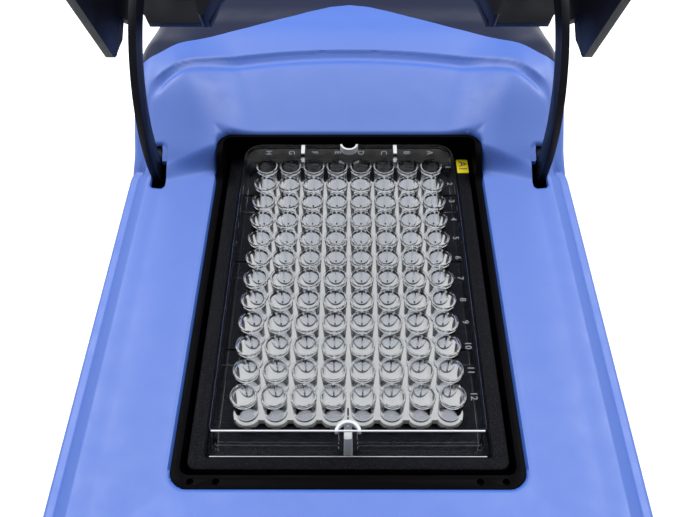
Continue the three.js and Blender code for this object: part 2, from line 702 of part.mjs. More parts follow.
const HOOD_X = 86.5;
const HOOD_Y = [-97, 66.2];
const HOOD_TOP = 38.5;
const HOOD_WALL = 3;
const HOOD_EDGE_R = 5;
const HOOD_BOTTOM = -7.5; // lower edge of the side walls
const REAR_WALL_BOTTOM = 10;
// arched relief in the rear wall, right half: x, z
const RELIEF = [[52.2, 5], [51.6, 8.6], [47.6, 19.5], [45.6, 22], [42, 23]];
// wedge-shaped notch in the rear wall, on the right: x, z
const NOTCH = [[74.2, 5], [74.4, 10], [76.4, 14.2], [77.2, 15], [77.4, 5]];
// tapered rib inside the rear wall, on the right: x, z
const RIB = [
  [43.6, 30], [47.7, 19.3], [51.9, 9.2], [53, 8.5], [54.3, 9.2], [58.1, 19.3], [61.8, 30],
  [61.8, 36], [43.6, 36],
];
// what is cut away under the side walls, leaving a rounded horn: y, z
const UNDERCUT = [
  [42, HOOD_BOTTOM],
  [54.9, HOOD_BOTTOM],
  ...[10, 25, 40, 55].map((angle) => [
    55.1 + 2.8 * Math.sin(degToRad(angle)),
    -4.7 - 2.8 * Math.cos(degToRad(angle)),
  ]),
  [61.3, 0.2], [66.2, 7.1], [68, 10], [75, 10], [75, -12], [42, -12],
];

// block with rounded edges, drawn in by `by`
function hoodBlock(by, [z0, z1]) {
  const r = HOOD_EDGE_R;
  const outline = roundedRect(inset(both(HOOD_X), by + r), inset(HOOD_Y, by + r), r);
  const geometry = new THREE.ExtrudeGeometry(outline, {
    depth: z1 - z0 - 2 * r,
    bevelEnabled: true,
    bevelSize: r,
    bevelThickness: r,
    bevelSegments: 3,
    curveSegments: 4,
  });
  return geometry.translate(0, 0, z0 + r);
}
function hoodShell() {
  const walls = cut(
    hoodBlock(0, [-30, HOOD_TOP]),
    hoodBlock(HOOD_WALL, [-40, HOOD_TOP - HOOD_WALL]),
    box(both(100), [-150, 120], [-50, HOOD_BOTTOM]),
    profileX(UNDERCUT, both(100)),
    // the rear wall ends higher than the side walls
    box(both(83.4), [58, 75], [-20, REAR_WALL_BOTTOM]),
    profileY(symmetric(RELIEF), [58, 70]),
    ...SIDES.map((side) => profileY(mirrorTo(side, NOTCH), [58, 70])),
    // the front wall clears the deck
    box(both(83), [-105, -90], [-12, -5.4]),
  );
  return join(
    walls,
    ...SIDES.map((side) => profileY(mirrorTo(side, RIB), [54.8, 63.8])),
    // thickened seats for the arms' feet
    ...SIDES.map((side) => box(toSide(side, [63, 78]), [46, 60], [33.6, 36])),
  );
}
hoodPart("hood_shell", hoodShell(), FINISH.hoodShell);
hoodPart("hood_liner", box(both(75), [-86, 40], [33.7, 35.1]), FINISH.hoodLiner);

// ---------------------------------------------------------------- swan-neck hood arms
const ARM_R = 52.8; // outer radius
const ARM_INNER_R = ARM_R - 8.9;
const ARM_THICKNESS = 2.7;
const ARM_X = 76.5; // outer face
const ARM_EYE_R = 4.9; // round the pivot

// side view, y and z
function armOutline() {
  const fromPivot = (y, z) => [HINGE_Y + y, HINGE_Z + z];
  // angle 0 points forwards from the pivot, positive upwards
  const at = (r, angle) => fromPivot(-r * Math.cos(degToRad(angle)), r * Math.sin(degToRad(angle)));
  const arc = (r, from, sweep, steps) =>
    Array.from({ length: steps + 1 }, (_, i) => at(r, from + (i * sweep) / steps));
  return [
    ...arc(ARM_R, 27, -115, 16),
    at(ARM_R - 1.5, -90),
    fromPivot(4.6, -8),
    ...arc(ARM_EYE_R, 190, -198, 6),
    fromPivot(-5.2, -6),
    fromPivot(-6.3, -24),
    at(ARM_INNER_R - 0.6, -78),
    ...arc(ARM_INNER_R, -73, 106, 14),
  ];
}
function hoodArm(side, screwAt) {
  const x = toSide(side, [ARM_X - ARM_THICKNESS, ARM_X]);
  return cut(
    join(profileX(armOutline(), x), box(toSide(side, [65, ARM_X]), [48, 59], [31, 33.3])),
    rodX(HINGE_BORE_R, inset(x, -1), [HINGE_Y, HINGE_Z]),
    rod(1.8, [28, 40], screwAt, 10),
  );
}
for (const [name, side] of [["left", -1], ["right", 1]]) {
  const at = [side * 69, 53.5];
  const armScrew = screw({
    at,
    headRadius: 3,
    headZ: [28.6, 30.8],
    shankRadius: 1.4,
    shankZ: [30.6, 33.2],
  });
  hoodPart("hood_arm_" + name, hoodArm(side, at), FINISH.hoodArm);
  hoodPart("arm_screw_" + name, armScrew, FINISH.darkSteel);
}

// ---------------------------------------------------------------- hinges
// one ear of the bracket, side view: y, z
const EAR = [
  [HINGE_Y - 5, HINGE_Z - 4.6], [HINGE_Y - 5, HINGE_Z + 1.4], [HINGE_Y - 2.6, HINGE_Z + 3.5],
  [HINGE_Y + 1.0, HINGE_Z + 3.5], [106, 3.2], [110, 2], [110, -18], [107, -18], [107, 0],
  [HINGE_Y + 3, HINGE_Z - 4.6],
];
function hingeWasher(side) {
  const [x] = toSide(side, [71.5, 73.5]);
  const washer = ring(HINGE_BORE_R, 4.6, [0, 2.0], [0, 0], 16);
  return washer.rotateY(Math.PI / 2).translate(x, HINGE_Y, HINGE_Z);
}
// two ears on an angled plate
function hingeBracket(side, screwAt) {
  const x = toSide(side, [69, 81.4]);
  return cut(
    join(
      profileX(EAR, toSide(side, [69, 71.2])),
      profileX(EAR, toSide(side, [79.2, 81.4])),
      box(x, [107.6, 110], [-18, 2]),
      box(x, [108, 121], [-18, -15.8]),
    ),
    rodX(HINGE_BORE_R, both(90), [HINGE_Y, HINGE_Z]),
    rod(1.9, [-20, -14], screwAt, 10),
  );
}
for (const [name, side] of [["left", -1], ["right", 1]]) {
  const at = [side * 75.2, 116];
  const pin = rodX(2.5, toSide(side, [68.2, 82.2]), [HINGE_Y, HINGE_Z]);
  const bracketScrew = screw({
    at,
    headRadius: 2.9,
    headZ: [-20.6, -18.3],
    shankRadius: 1.5,
    shankZ: [-18.5, -6],
  });
  part("hinge_pin_" + name, pin, FINISH.polishedSteel);
  part("hinge_washer_" + name, hingeWasher(side), FINISH.washer);
  part("hinge_bracket_" + name, hingeBracket(side, at), FINISH.bracket);
  part("bracket_screw_" + name, bracketScrew, FINISH.screwSteel);
}

// ---------------------------------------------------------------- control panel
const OVERLAY_Z = [0.45, 1.35]; // above the sloping surface
const overlay = cut(
  slab(roundedRect([-62, 66], both(14), 5), OVERLAY_Z, 3),
  box(WINDOW_X, WINDOW_Y, [-2, 4]),
  ...BUTTONS.map(([, at]) => rod(4.4, [-2, 4], at, 16)),
);
const windowPane = roundedRect(inset(WINDOW_X, GAP), inset(WINDOW_Y, GAP), 1.5);
const displayModule = join(
  box(inset(WINDOW_X, -2), inset(WINDOW_Y, -1), [-9.5, -4]),
  box(inset(WINDOW_X, -6), inset(WINDOW_Y, -4), [-11, -9.3]),
);
part("panel_overlay", onPanel(overlay), FINISH.overlay);
part("display_window", onPanel(slab(windowPane, OVERLAY_Z, 2)), FINISH.display);
part("display_module", onPanel(displayModule), FINISH.circuitBoard);
for (const [name, at] of BUTTONS) {
  const button = join(rod(3.9, [-5.6, 2.6], at, 16), rod(5.6, [-6.4, -5.4], at, 16));
  const finish = name === "button_start_stop" ? FINISH.greenButton : FINISH.paleButton;
  part(name, onPanel(button), finish);
}

// ---------------------------------------------------------------- electronics
part(
  "main_board",
  join(
    box(both(52), [-128, -74], [-72, -70.4]),
    box([-30, 10], [-118, -96], [-70.6, -66]),
    box([22, 40], [-110, -90], [-70.6, -60]),
  ),
  FINISH.circuitBoard,
);
part(
  "power_supply",
  join(
    box([-44, 30], [74, 124], [-79.2, -77.6]),
    box([-40, -8], [80, 112], [-77.8, -54]),
    box([2, 24], [84, 116], [-77.8, -60]),
  ),
  FINISH.powerSupply,
);

// ---------------------------------------------------------------- mains parts in the rear wall
const FLANGE_Z = [-50, -26];
const fromRear = (range) => offset(range, REAR_Y);
part(
  "power_inlet",
  cut(
    join(
      box(inset(INLET_HOLE_X, GAP), fromRear([-19, 0.6]), inset(MAINS_HOLE_Z, GAP)),
      box([-30.5, 2.1], fromRear([0.3, 2.0]), FLANGE_Z),
    ),
    box([-25.6, -2.8], fromRear([-14, 4]), [-45.4, -30.6]),
  ),
  FINISH.mainsPlastic,
);
part(
  "switch_frame",
  cut(
    join(
      box(inset(SWITCH_HOLE_X, GAP), fromRear([-14, 0.6]), inset(MAINS_HOLE_Z, GAP)),
      box([8.2, 25.8], fromRear([0.3, 1.8]), FLANGE_Z),
    ),
    box([11.8, 22.2], fromRear([-9, 4]), [-46.2, -29.8]),
  ),
  FINISH.mainsPlastic,
);

// rocker's side view from its middle: y, z
const ROCKER_AT = [REAR_Y - 2.5, -38];
const ROCKER = [
  [-3.5, -4], [3.2, -7.3], [4.2, -6.8], [2.5, 0], [4.2, 6.8], [3.2, 7.3], [-3.5, 4],
];
const rockerOutline = ROCKER.map(([y, z]) => [ROCKER_AT[0] + y, ROCKER_AT[1] + z]);
part("switch_rocker", profileX(rockerOutline, [12.3, 21.7]), FINISH.rocker);
part(
  "hood_switch",
  join(box([58, 64], [68, 88], [-22, -12]), box([59.5, 62.5], [68, 71], [-12.5, -10])),
  FINISH.hoodSwitch,
);

export default model;
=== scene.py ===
"""Bench instrument that carries a 96-well microplate in a nest, with its hinged hood open.

Parts are drawn in mm in the plate's frame: x to the right seen from the front, y to the rear,
z up, the origin at the plate's centre level with the tops of its wells. to_m() takes them to
the scene's frame, in metres, with the floor at z = 0. The hood is drawn closed, then turned open.
"""
import json
import math

import bmesh
import bpy
import numpy as np
from mathutils import Matrix, Vector

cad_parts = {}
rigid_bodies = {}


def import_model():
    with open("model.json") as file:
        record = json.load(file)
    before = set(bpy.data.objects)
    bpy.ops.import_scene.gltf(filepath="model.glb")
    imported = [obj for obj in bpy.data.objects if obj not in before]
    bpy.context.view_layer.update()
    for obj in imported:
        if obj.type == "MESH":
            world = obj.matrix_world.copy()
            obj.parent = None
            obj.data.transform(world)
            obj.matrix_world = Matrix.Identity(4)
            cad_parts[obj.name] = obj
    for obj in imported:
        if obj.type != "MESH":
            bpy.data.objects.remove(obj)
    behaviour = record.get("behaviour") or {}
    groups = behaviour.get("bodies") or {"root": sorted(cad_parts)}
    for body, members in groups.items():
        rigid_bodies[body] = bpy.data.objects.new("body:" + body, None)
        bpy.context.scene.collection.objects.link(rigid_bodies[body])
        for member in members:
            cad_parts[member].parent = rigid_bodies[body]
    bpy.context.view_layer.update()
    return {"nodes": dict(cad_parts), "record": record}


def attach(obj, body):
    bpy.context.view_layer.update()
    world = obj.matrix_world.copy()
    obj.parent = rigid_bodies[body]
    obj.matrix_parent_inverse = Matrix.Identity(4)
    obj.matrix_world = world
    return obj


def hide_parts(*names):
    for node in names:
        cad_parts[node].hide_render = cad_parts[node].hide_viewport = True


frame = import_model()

scene = bpy.context.scene

# ---------------------------------------------------------------- driving sizes, mm
ORIGIN_Y, ORIGIN_Z = -14.5, 88.0            # the plate's origin in the scene's frame
FLOOR_Z = -ORIGIN_Z
HALF_WIDTH, FRONT_Y, REAR_Y = 86.8, -143.0, 170.0
FRONT_R = 22.0                              # front corners in plan
REAR_FROM, REAR_LEN = 122.0, 49.5           # where the sides start to close in, and over what length
WALL = 2.4
PARTING_Z = -60.0                           # between upper and lower housing
OPEN_X, OPEN_FRONT, OPEN_REAR = 52.4, -75.4, 67.6   # opening over the plate
OPEN_R = 6
PIVOT_Y, PIVOT_Z, OPEN_ANGLE = 98.8, 9.3, math.radians(62)   # hood hinge


def to_m(points):
    points = np.asarray(points, float).reshape(-1, 3)
    return (points + np.array([0.0, ORIGIN_Y, ORIGIN_Z])) / 1000.0


def open_hood(points):
    """Turns points of the closed hood about its pivot to the open position."""
    points = np.asarray(points, float).reshape(-1, 3)
    c, s = math.cos(-OPEN_ANGLE), math.sin(-OPEN_ANGLE)
    y, z = points[:, 1] - PIVOT_Y, points[:, 2] - PIVOT_Z
    return np.stack([points[:, 0], y * c - z * s + PIVOT_Y, y * s + z * c + PIVOT_Z], 1)


# ---------------------------------------------------------------- mesh helpers
def add_object(name, mesh):
    ob = bpy.data.objects.new(name, mesh)
    scene.collection.objects.link(ob)
    return ob


def remove_object(ob):
    mesh = ob.data
    bpy.data.objects.remove(ob)
    bpy.data.meshes.remove(mesh)


def make(verts, faces, name="tool", hood=False):
    verts = open_hood(verts) if hood else verts
    mesh = bpy.data.meshes.new(name)
    mesh.from_pydata([tuple(p) for p in to_m(verts)], [],
                     [tuple(int(i) for i in f) for f in faces])
    mesh.validate()
    mesh.update()
    return add_object(name, mesh)


def sharpen(ob, degrees):
    """Smooth shading that breaks at edges turning more than this."""
    bm = bmesh.new()
    bm.from_mesh(ob.data)
    limit = math.radians(degrees)
    for face in bm.faces:
        face.smooth = True
    for edge in bm.edges:
        edge.smooth = not (len(edge.link_faces) == 2 and edge.calc_face_angle(0.0) > limit)
    bm.to_mesh(ob.data)
    bm.free()
    return ob


def apply_modifiers(ob):
    depsgraph = bpy.context.evaluated_depsgraph_get()
    mesh = bpy.data.meshes.new_from_object(ob.evaluated_get(depsgraph))
    ob.modifiers.clear()
    old = ob.data
    ob.data = mesh
    bpy.data.meshes.remove(old)


def boolean(ob, tools, operation="DIFFERENCE"):
    """Cuts the tools from ob, or joins them to it, and removes them."""
    for tool in tools:
        modifier = ob.modifiers.new("cut", "BOOLEAN")
        modifier.operation, modifier.object, modifier.solver = operation, tool, "MANIFOLD"
    apply_modifiers(ob)
    for tool in tools:
        remove_object(tool)


def bevel(ob, width, segments, angle=40):
    modifier = ob.modifiers.new("bevel", "BEVEL")
    modifier.width = width / 1000
    modifier.segments = segments
    modifier.limit_method = "ANGLE"
    modifier.angle_limit = math.radians(angle)
    modifier.use_clamp_overlap = True
    modifier.harden_normals = False
    apply_modifiers(ob)


def arc(cx, cy, r, angles):
    return [(cx + r * math.cos(a), cy + r * math.sin(a)) for a in angles]


def degrees_between(start, end, count):
    return np.radians(np.linspace(start, end, count))


def circle(cx, cy, r, n):
    return arc(cx, cy, r, [2 * math.pi * i / n for i in range(n)])


def rect(x0, x1, y0, y1):
    return [(x0, y0), (x1, y0), (x1, y1), (x0, y1)]


def rrect(x0, x1, y0, y1, r, seg=8):
    """Rectangle with rounded corners."""
    points = []
    for cx, cy, start in ((x1 - r, y0 + r, -90), (x1 - r, y1 - r, 0),
                          (x0 + r, y1 - r, 90), (x0 + r, y0 + r, 180)):
        points += arc(cx, cy, r, degrees_between(start, start + 90, seg + 1))
    return points


def span(side, a, b):
    """Range a..b of x on the right (side 1) or mirrored to the left (side -1)."""
    return sorted((side * a, side * b))


def tube_faces(n, rings):
    faces = [list(range(n))[::-1], [(rings - 1) * n + i for i in range(n)]]
    for k in range(rings - 1):
        for i in range(n):
            j = (i + 1) % n
            faces.append([k * n + i, k * n + j, (k + 1) * n + j, (k + 1) * n + i])
    return faces


def prism(points, low, high, axis="z", name="tool", hood=False):
    """Closed prism of a 2-D outline: (x, y) along z, (y, z) along x or (x, z) along y."""
    outline = np.array(points, float)
    u, v = outline.T
    if 0.5 * np.sum(u * np.roll(v, -1) - np.roll(u, -1) * v) < 0:
        outline = outline[::-1]
    u, v = outline.T
    n = len(outline)
    verts = []
    for level in ((high, low) if axis == "y" else (low, high)):
        w = np.full(n, float(level))
        verts.append(np.stack({"x": (w, u, v), "y": (u, w, v), "z": (u, v, w)}[axis], 1))
    return make(np.concatenate(verts), tube_faces(n, 2), name, hood)


def box(x0, x1, y0, y1, z0, z1):
    return prism(rect(x0, x1, y0, y1), z0, z1)


def loft(rings, name="tool", hood=False):
    """Closed solid through stacked rings [(points, z), ...] of equal count."""
    n = len(rings[0][0])
    verts = [np.column_stack([np.array(p, float), np.full(n, z)]) for p, z in rings]
    return make(np.concatenate(verts), tube_faces(n, len(rings)), name, hood)


def rrect_loft(rows, seg, name="tool", hood=False):
    """Loft through rounded rectangles; each row is x0, x1, y0, y1, corner radius, z."""
    return loft([(rrect(*row[:5], seg), row[5]) for row in rows], name, hood)


def revolve(profile, centres, seg, name="tool"):
    """Closed turned bodies, one per centre; profile [(r, z), ...] from axis to axis, upwards."""
    verts, faces = [], []
    middle = profile[1:-1]
    for cx, cy in centres:
        first = len(verts)
        verts.append((cx, cy, profile[0][1]))
        for r, z in middle:
            verts += [(x, y, z) for x, y in circle(cx, cy, r, seg)]
        verts.append((cx, cy, profile[-1][1]))
        last = len(verts) - 1
        end = first + 1 + (len(middle) - 1) * seg
        for i in range(seg):
            j = (i + 1) % seg
            faces.append((first, first + 1 + j, first + 1 + i))
            for k in range(len(middle) - 1):
                a = first + 1 + k * seg
                b = a + seg
                faces.append((a + i, a + j, b + j, b + i))
            faces.append((end + i, end + j, last))
    return make(verts, faces, name)


def cylinder(x, y, r, z0, z1, seg):
    return revolve([(0, z0), (r, z0), (r, z1), (0, z1)], [(x, y)], seg)


def text_mesh(text, size, depth, x, y, z, turn=-90.0, name="tool"):
    """Raised text centred at a point, turned about z in degrees."""
    curve = bpy.data.curves.new(name, "FONT")
    curve.body, curve.size, curve.extrude = text, size / 1000, depth / 2000
    curve.align_x, curve.align_y = "CENTER", "CENTER"
    curve.resolution_u = 3
    ob = add_object(name, curve)
    depsgraph = bpy.context.evaluated_depsgraph_get()
    mesh = bpy.data.meshes.new_from_object(ob.evaluated_get(depsgraph))
    bpy.data.objects.remove(ob)
    place = Matrix.Translation(Vector(to_m([x, y, z])[0]))
    mesh.transform(place @ Matrix.Rotation(math.radians(turn), 4, "Z"))
    bm = bmesh.new()
    bm.from_mesh(mesh)
    bmesh.ops.remove_doubles(bm, verts=bm.verts, dist=1e-6)
    bm.to_mesh(mesh)
    bm.free()
    return add_object(name, mesh)


def join(obs, name="tool"):
    verts, faces = [], []
    for ob in obs:
        first = len(verts)
        verts += [v.co[:] for v in ob.data.vertices]
        faces += [[first + i for i in p.vertices] for p in ob.data.polygons]
    mesh = bpy.data.meshes.new(name)
    mesh.from_pydata(verts, [], faces)
    mesh.update()
    for ob in obs:
        remove_object(ob)
    return add_object(name, mesh)


# ---------------------------------------------------------------- shader helpers
def node_material(name):
    material = bpy.data.materials.new(name)
    material.use_nodes = True
    nt = material.node_tree
    nt.nodes.clear()
    output = nt.nodes.new("ShaderNodeOutputMaterial")
    bsdf = nt.nodes.new("ShaderNodeBsdfPrincipled")
    nt.links.new(bsdf.outputs[0], output.inputs[0])
    return material, nt, bsdf, output


def noise(nt, scale, detail=3.0, rough=0.55, stretch=(1, 1, 1)):
    """Noise in object space, in cycles per metre."""
    texture = nt.nodes.new("ShaderNodeTexNoise")
    texture.inputs["Scale"].default_value = 1.0
    texture.inputs["Detail"].default_value = detail
    texture.inputs["Roughness"].default_value = rough
    coords = nt.nodes.new("ShaderNodeTexCoord")
    mapping = nt.nodes.new("ShaderNodeMapping")
    mapping.inputs["Scale"].default_value = tuple(scale * s for s in stretch)
    nt.links.new(coords.outputs["Object"], mapping.inputs[0])
    nt.links.new(mapping.outputs[0], texture.inputs["Vector"])
    return texture.outputs["Fac"]


def math_node(nt, operation, a, b, clamp=False):
    node = nt.nodes.new("ShaderNodeMath")
    node.operation = operation
    node.use_clamp = clamp
    for socket, value in zip(node.inputs, (a, b)):
        if isinstance(value, (int, float)):
            socket.default_value = value
        else:
            nt.links.new(value, socket)
    return node.outputs[0]


def remap(nt, value, source, target=(0, 1)):
    """Maps the source range linearly to the target range, clamped."""
    node = nt.nodes.new("ShaderNodeMapRange")
    node.inputs["From Min"].default_value, node.inputs["From Max"].default_value = source
    node.inputs["To Min"].default_value, node.inputs["To Max"].default_value = target
    nt.links.new(value, node.inputs["Value"])
    return node.outputs[0]


def mix_color(nt, factor, a, b):
    node = nt.nodes.new("ShaderNodeMix")
    node.data_type = "RGBA"
    for i, color in ((6, a), (7, b)):       # the node's two colour sockets
        if isinstance(color, tuple):
            node.inputs[i].default_value = (*color, 1)
        else:
            nt.links.new(color, node.inputs[i])
    nt.links.new(factor, node.inputs[0])
    return node.outputs[2]


def bump(nt, bsdf, height, distance):
    node = nt.nodes.new("ShaderNodeBump")
    node.inputs["Distance"].default_value = distance
    nt.links.new(height, node.inputs["Height"])
    nt.links.new(node.outputs[0], bsdf.inputs["Normal"])


def scaled(color, gain, lift=0.0):
    return tuple(min(1, c * gain + lift) for c in color)


def srgb(*color):
    return tuple(((c / 255 + 0.055) / 1.055) ** 2.4 if c > 10 else c / 255 / 12.92 for c in color)


MATERIALS = {}


def plastic(slot, color, rough=0.4, grain=900.0, depth=4e-5, wear=0.12, coat=0.0, specular=0.5,
            vary=0.06, speck=0.0, name=None):
    """Moulded plastic.

    grain, depth: surface grain in cycles per metre and its height in metres; wear: how far
    edges lighten; vary: spread of the base colour; speck: strength of fine light specks.
    """
    material, nt, bsdf, _ = node_material("m_" + (name or slot))
    large = noise(nt, scale=14.0, detail=4.0)
    middle = noise(nt, scale=120.0)
    fine = noise(nt, scale=grain, detail=2.0, rough=0.6)
    base = mix_color(nt, remap(nt, large, source=(0.35, 0.65)),
                     tuple(c * (1 - vary) for c in color), scaled(color, gain=1 + vary))
    geometry = nt.nodes.new("ShaderNodeNewGeometry")
    edge = remap(nt, geometry.outputs["Pointiness"], source=(0.53, 0.62), target=(0.0, 1.0))
    patches = remap(nt, middle, source=(0.4, 0.7), target=(0.0, wear))
    edge = math_node(nt, "MULTIPLY", edge, patches, clamp=True)
    shade = mix_color(nt, edge, base, scaled(color, gain=1.25, lift=0.03))
    if speck:
        dots = noise(nt, scale=2600.0, detail=1.0, rough=0.4)
        shade = mix_color(nt, remap(nt, dots, source=(0.58, 0.68), target=(0.0, speck)), shade,
                          scaled(color, gain=2.2, lift=0.02))
    nt.links.new(shade, bsdf.inputs["Base Color"])
    uneven = remap(nt, middle, source=(0.3, 0.7), target=(rough - 0.04, rough + 0.05))
    polish = math_node(nt, "MULTIPLY", edge, -0.1)      # worn edges are smoother
    nt.links.new(math_node(nt, "ADD", uneven, polish), bsdf.inputs["Roughness"])
    bsdf.inputs["Specular IOR Level"].default_value = specular
    if coat:
        bsdf.inputs["Coat Weight"].default_value = coat
        bsdf.inputs["Coat Roughness"].default_value = 0.18
    bump(nt, bsdf, fine, depth)
    MATERIALS[slot] = material


def metal(slot, color, rough, stretch=(1, 1, 12), name=None):
    """Brushed metal; stretch draws the streaks out across the axis of the largest number."""
    material, nt, bsdf, _ = node_material("m_" + (name or slot))
    streak = noise(nt, scale=260.0, detail=4.0, rough=0.6, stretch=stretch)
    blotch = noise(nt, scale=35.0)
    nt.links.new(mix_color(nt, remap(nt, blotch, source=(0.3, 0.7)),
                           tuple(c * 0.86 for c in color), color), bsdf.inputs["Base Color"])
    nt.links.new(remap(nt, streak, source=(0.3, 0.7), target=(rough - 0.08, rough + 0.12)),
                 bsdf.inputs["Roughness"])
    bsdf.inputs["Metallic"].default_value = 1.0
    bump(nt, bsdf, streak, distance=0.00002)
    MATERIALS[slot] = material


def clear_plastic(slot):
    """Clear plastic that lets shadow and diffuse rays pass straight through."""
    material, nt, bsdf, output = node_material("m_" + slot)
    bsdf.inputs["Base Color"].default_value = (0.97, 0.98, 1.0, 1)
    bsdf.inputs["Transmission Weight"].default_value = 1.0
    bsdf.inputs["IOR"].default_value = 1.36
    haze = noise(nt, scale=90.0)
    nt.links.new(remap(nt, haze, source=(0.3, 0.7), target=(0.02, 0.06)),
                 bsdf.inputs["Roughness"])
    bump(nt, bsdf, noise(nt, scale=220.0, detail=2.0), distance=0.00002)
    see_through = nt.nodes.new("ShaderNodeBsdfTransparent")
    see_through.inputs[0].default_value = (0.93, 0.94, 0.96, 1)
    path = nt.nodes.new("ShaderNodeLightPath")
    soft_ray = math_node(nt, "ADD", path.outputs["Is Shadow Ray"],
                         path.outputs["Is Diffuse Ray"], clamp=True)
    blend = nt.nodes.new("ShaderNodeMixShader")
    nt.links.new(soft_ray, blend.inputs[0])
    nt.links.new(bsdf.outputs[0], blend.inputs[1])
    nt.links.new(see_through.outputs[0], blend.inputs[2])
    nt.links.new(blend.outputs[0], output.inputs[0])
    MATERIALS[slot] = material


# ---------------------------------------------------------------- materials of the instrument
plastic("housing_blue", (0.029, 0.102, 0.435), rough=0.56, grain=700, depth=3e-5, wear=0.06,
        vary=0.02, specular=1.0)
# navy of the rear cover: the colour of a dark rear part at the corners, and painted shade for the
# hood's shadow where the cover reaches into the middle
plastic("cover_dark", srgb(20, 27, 52), rough=0.42, grain=700, depth=3e-5, wear=0.15,
        specular=0.2)
plastic("base_grey", srgb(176, 181, 192), rough=0.5, grain=600, wear=0.15)
plastic("hood_black", srgb(9, 11, 20), grain=800, wear=0.2, specular=0.16)
plastic("liner_black", srgb(1, 1, 3), rough=0.5, wear=0.05, specular=0.03)
plastic("nest_black", srgb(8, 9, 15), rough=0.6, grain=1100, depth=6e-5, wear=0.1, speck=0.6,
        specular=0.06)
plastic("insulation", srgb(40, 43, 54), rough=0.7, grain=500, depth=1e-4, wear=0.05)
plastic("rubber_foot", srgb(20, 20, 22), rough=0.8, grain=800, depth=1e-4, wear=0.2,
        specular=0.2, name="rubber")
metal("steel", (0.62, 0.63, 0.65), rough=0.28)
metal("aluminium", (0.70, 0.71, 0.73), rough=0.36, stretch=(1, 10, 1))
metal("motor_can", (0.16, 0.165, 0.18), rough=0.38, name="motor")
plastic("heater", srgb(176, 84, 40), rough=0.7, grain=400, depth=1e-4)
plastic("label_yellow", srgb(226, 206, 0), grain=500, depth=1e-5, wear=0.05, vary=0.02,
        name="label")
plastic("panel_dark", srgb(34, 38, 50), rough=0.34, grain=700, depth=2e-5, wear=0.1, coat=0.3,
        name="panel")
plastic("display", srgb(12, 26, 22), rough=0.08, grain=300, depth=5e-6, wear=0.0, coat=1.0)
plastic("button_grey", srgb(205, 210, 221), rough=0.45, grain=700, depth=3e-5, wear=0.2,
        name="button")
plastic("button_green", srgb(64, 160, 96), rough=0.45, grain=700, depth=3e-5, wear=0.2)
plastic("board_green", srgb(30, 92, 56), rough=0.5, grain=500, depth=3e-5, wear=0.1, speck=0.4,
        name="board")
plastic("electrics_black", srgb(22, 23, 26), rough=0.5, grain=800, wear=0.25, name="electrics")
plastic("washer_white", srgb(232, 228, 214), rough=0.5, grain=700, depth=3e-5, wear=0.1,
        name="washer")

# every CAD node takes the material of its slot
slot_of = {s["node"]: s["material_slot"] for s in frame["record"]["subparts"]}
for node_name, ob in frame["nodes"].items():
    material = MATERIALS.get(slot_of.get(node_name, ""))
    if material is not None:
        if not ob.material_slots:
            ob.data.materials.append(material)
        for material_slot in ob.material_slots:
            material_slot.link = "OBJECT"
            material_slot.material = material


def piece(ob, body, slot, *nodes):
    """Gives ob its material and body, and lets it stand in for the named CAD nodes."""
    ob.data.materials.clear()
    ob.data.materials.append(MATERIALS[slot])
    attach(ob, body)
    if nodes:
        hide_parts(*nodes)


# ---------------------------------------------------------------- the housing's top surface
DECK_Z = -6.2           # around the opening
CREST_X, CREST_Z = 78.5, -5.6   # line outside which the flanks fall
FLANK_Z = -9.1
RAMP_Y = -99            # the top slopes down in front of this
RAMP_BEND = 5
SLOT_X, SLOT_Y = (71.4, 77.2), (43.8, 61)   # slots for the hood's arms
SLOT_R = 2

# bends of a height profile along y: where, width of the bend, change of slope
CENTRE_BENDS = ((66, 6, 0.29), (103, 6, -0.14), (116, 5, -0.16), (125, 5, -0.22), (146, 4, 0.18))
BULGE_BENDS = ((53.5, 2, 0.56), (87, 8, -0.54), (106, 6, -0.28), (130, 6, 0.1))


def smooth_step(a, b, t):
    u = np.clip((t - a) / (b - a), 0, 1)
    return u * u * (3 - 2 * u)


def mix(a, b, t):
    return a + (b - a) * t


def soft(t, k):
    """max(0, t) with a rounded corner k wide"""
    return 0.5 * (t + np.sqrt(t * t + k * k)) - 0.5 * k * np.exp(-(t / (2 * k)) ** 2)


def bent_line(y, start, bends):
    z = start
    for bend_y, width, slope in bends:
        z = z + soft(y - bend_y, width) * slope
    return z


def half_width(y):
    """Half the plan's width at y."""
    y = np.asarray(y, float)
    d = np.clip(FRONT_Y + FRONT_R - y, 0, FRONT_R)
    front = HALF_WIDTH - FRONT_R + np.sqrt(np.maximum(0, FRONT_R ** 2 - d * d))
    t = np.clip((y - REAR_FROM) / REAR_LEN, 0, 1)
    rear = HALF_WIDTH * np.cbrt(np.maximum(0, 1 - t ** 3))
    return np.minimum(front, rear)


def outline_stations(front_count, middle, rear_count):
    """y values along the plan, dense round its front corners and its rear."""
    front = FRONT_Y + FRONT_R * (1 - np.cos(np.linspace(0, math.pi / 2, front_count)))
    rear = REAR_FROM + (REAR_Y - REAR_FROM) * np.sin(np.linspace(0, math.pi / 2, rear_count))
    return np.concatenate([front, middle, rear])


outline_y = outline_stations(20, np.linspace(-110, 95, 8), 40)
OUTLINE = np.concatenate([[[0, FRONT_Y]], np.stack([half_width(outline_y), outline_y], 1),
                          [[0, REAR_Y]]])


def edge_distance(x, y):
    """Distance to the plan's outline."""
    best = np.full(x.shape, 1e9)
    ax = np.abs(x)
    for (x0, y0), (x1, y1) in zip(OUTLINE[:-1], OUTLINE[1:]):
        dx, dy = x1 - x0, y1 - y0
        t = np.clip(((ax - x0) * dx + (y - y0) * dy) / (dx * dx + dy * dy + 1e-12), 0, 1)
        best = np.minimum(best, np.hypot(ax - x0 - t * dx, y - y0 - t * dy))
    return best


def front_ramp(s):
    """Fall of the front slope, s in front of where it starts."""
    return np.where(s > 0, 0.95 * (np.sqrt(s * s + RAMP_BEND ** 2) - RAMP_BEND), 0)


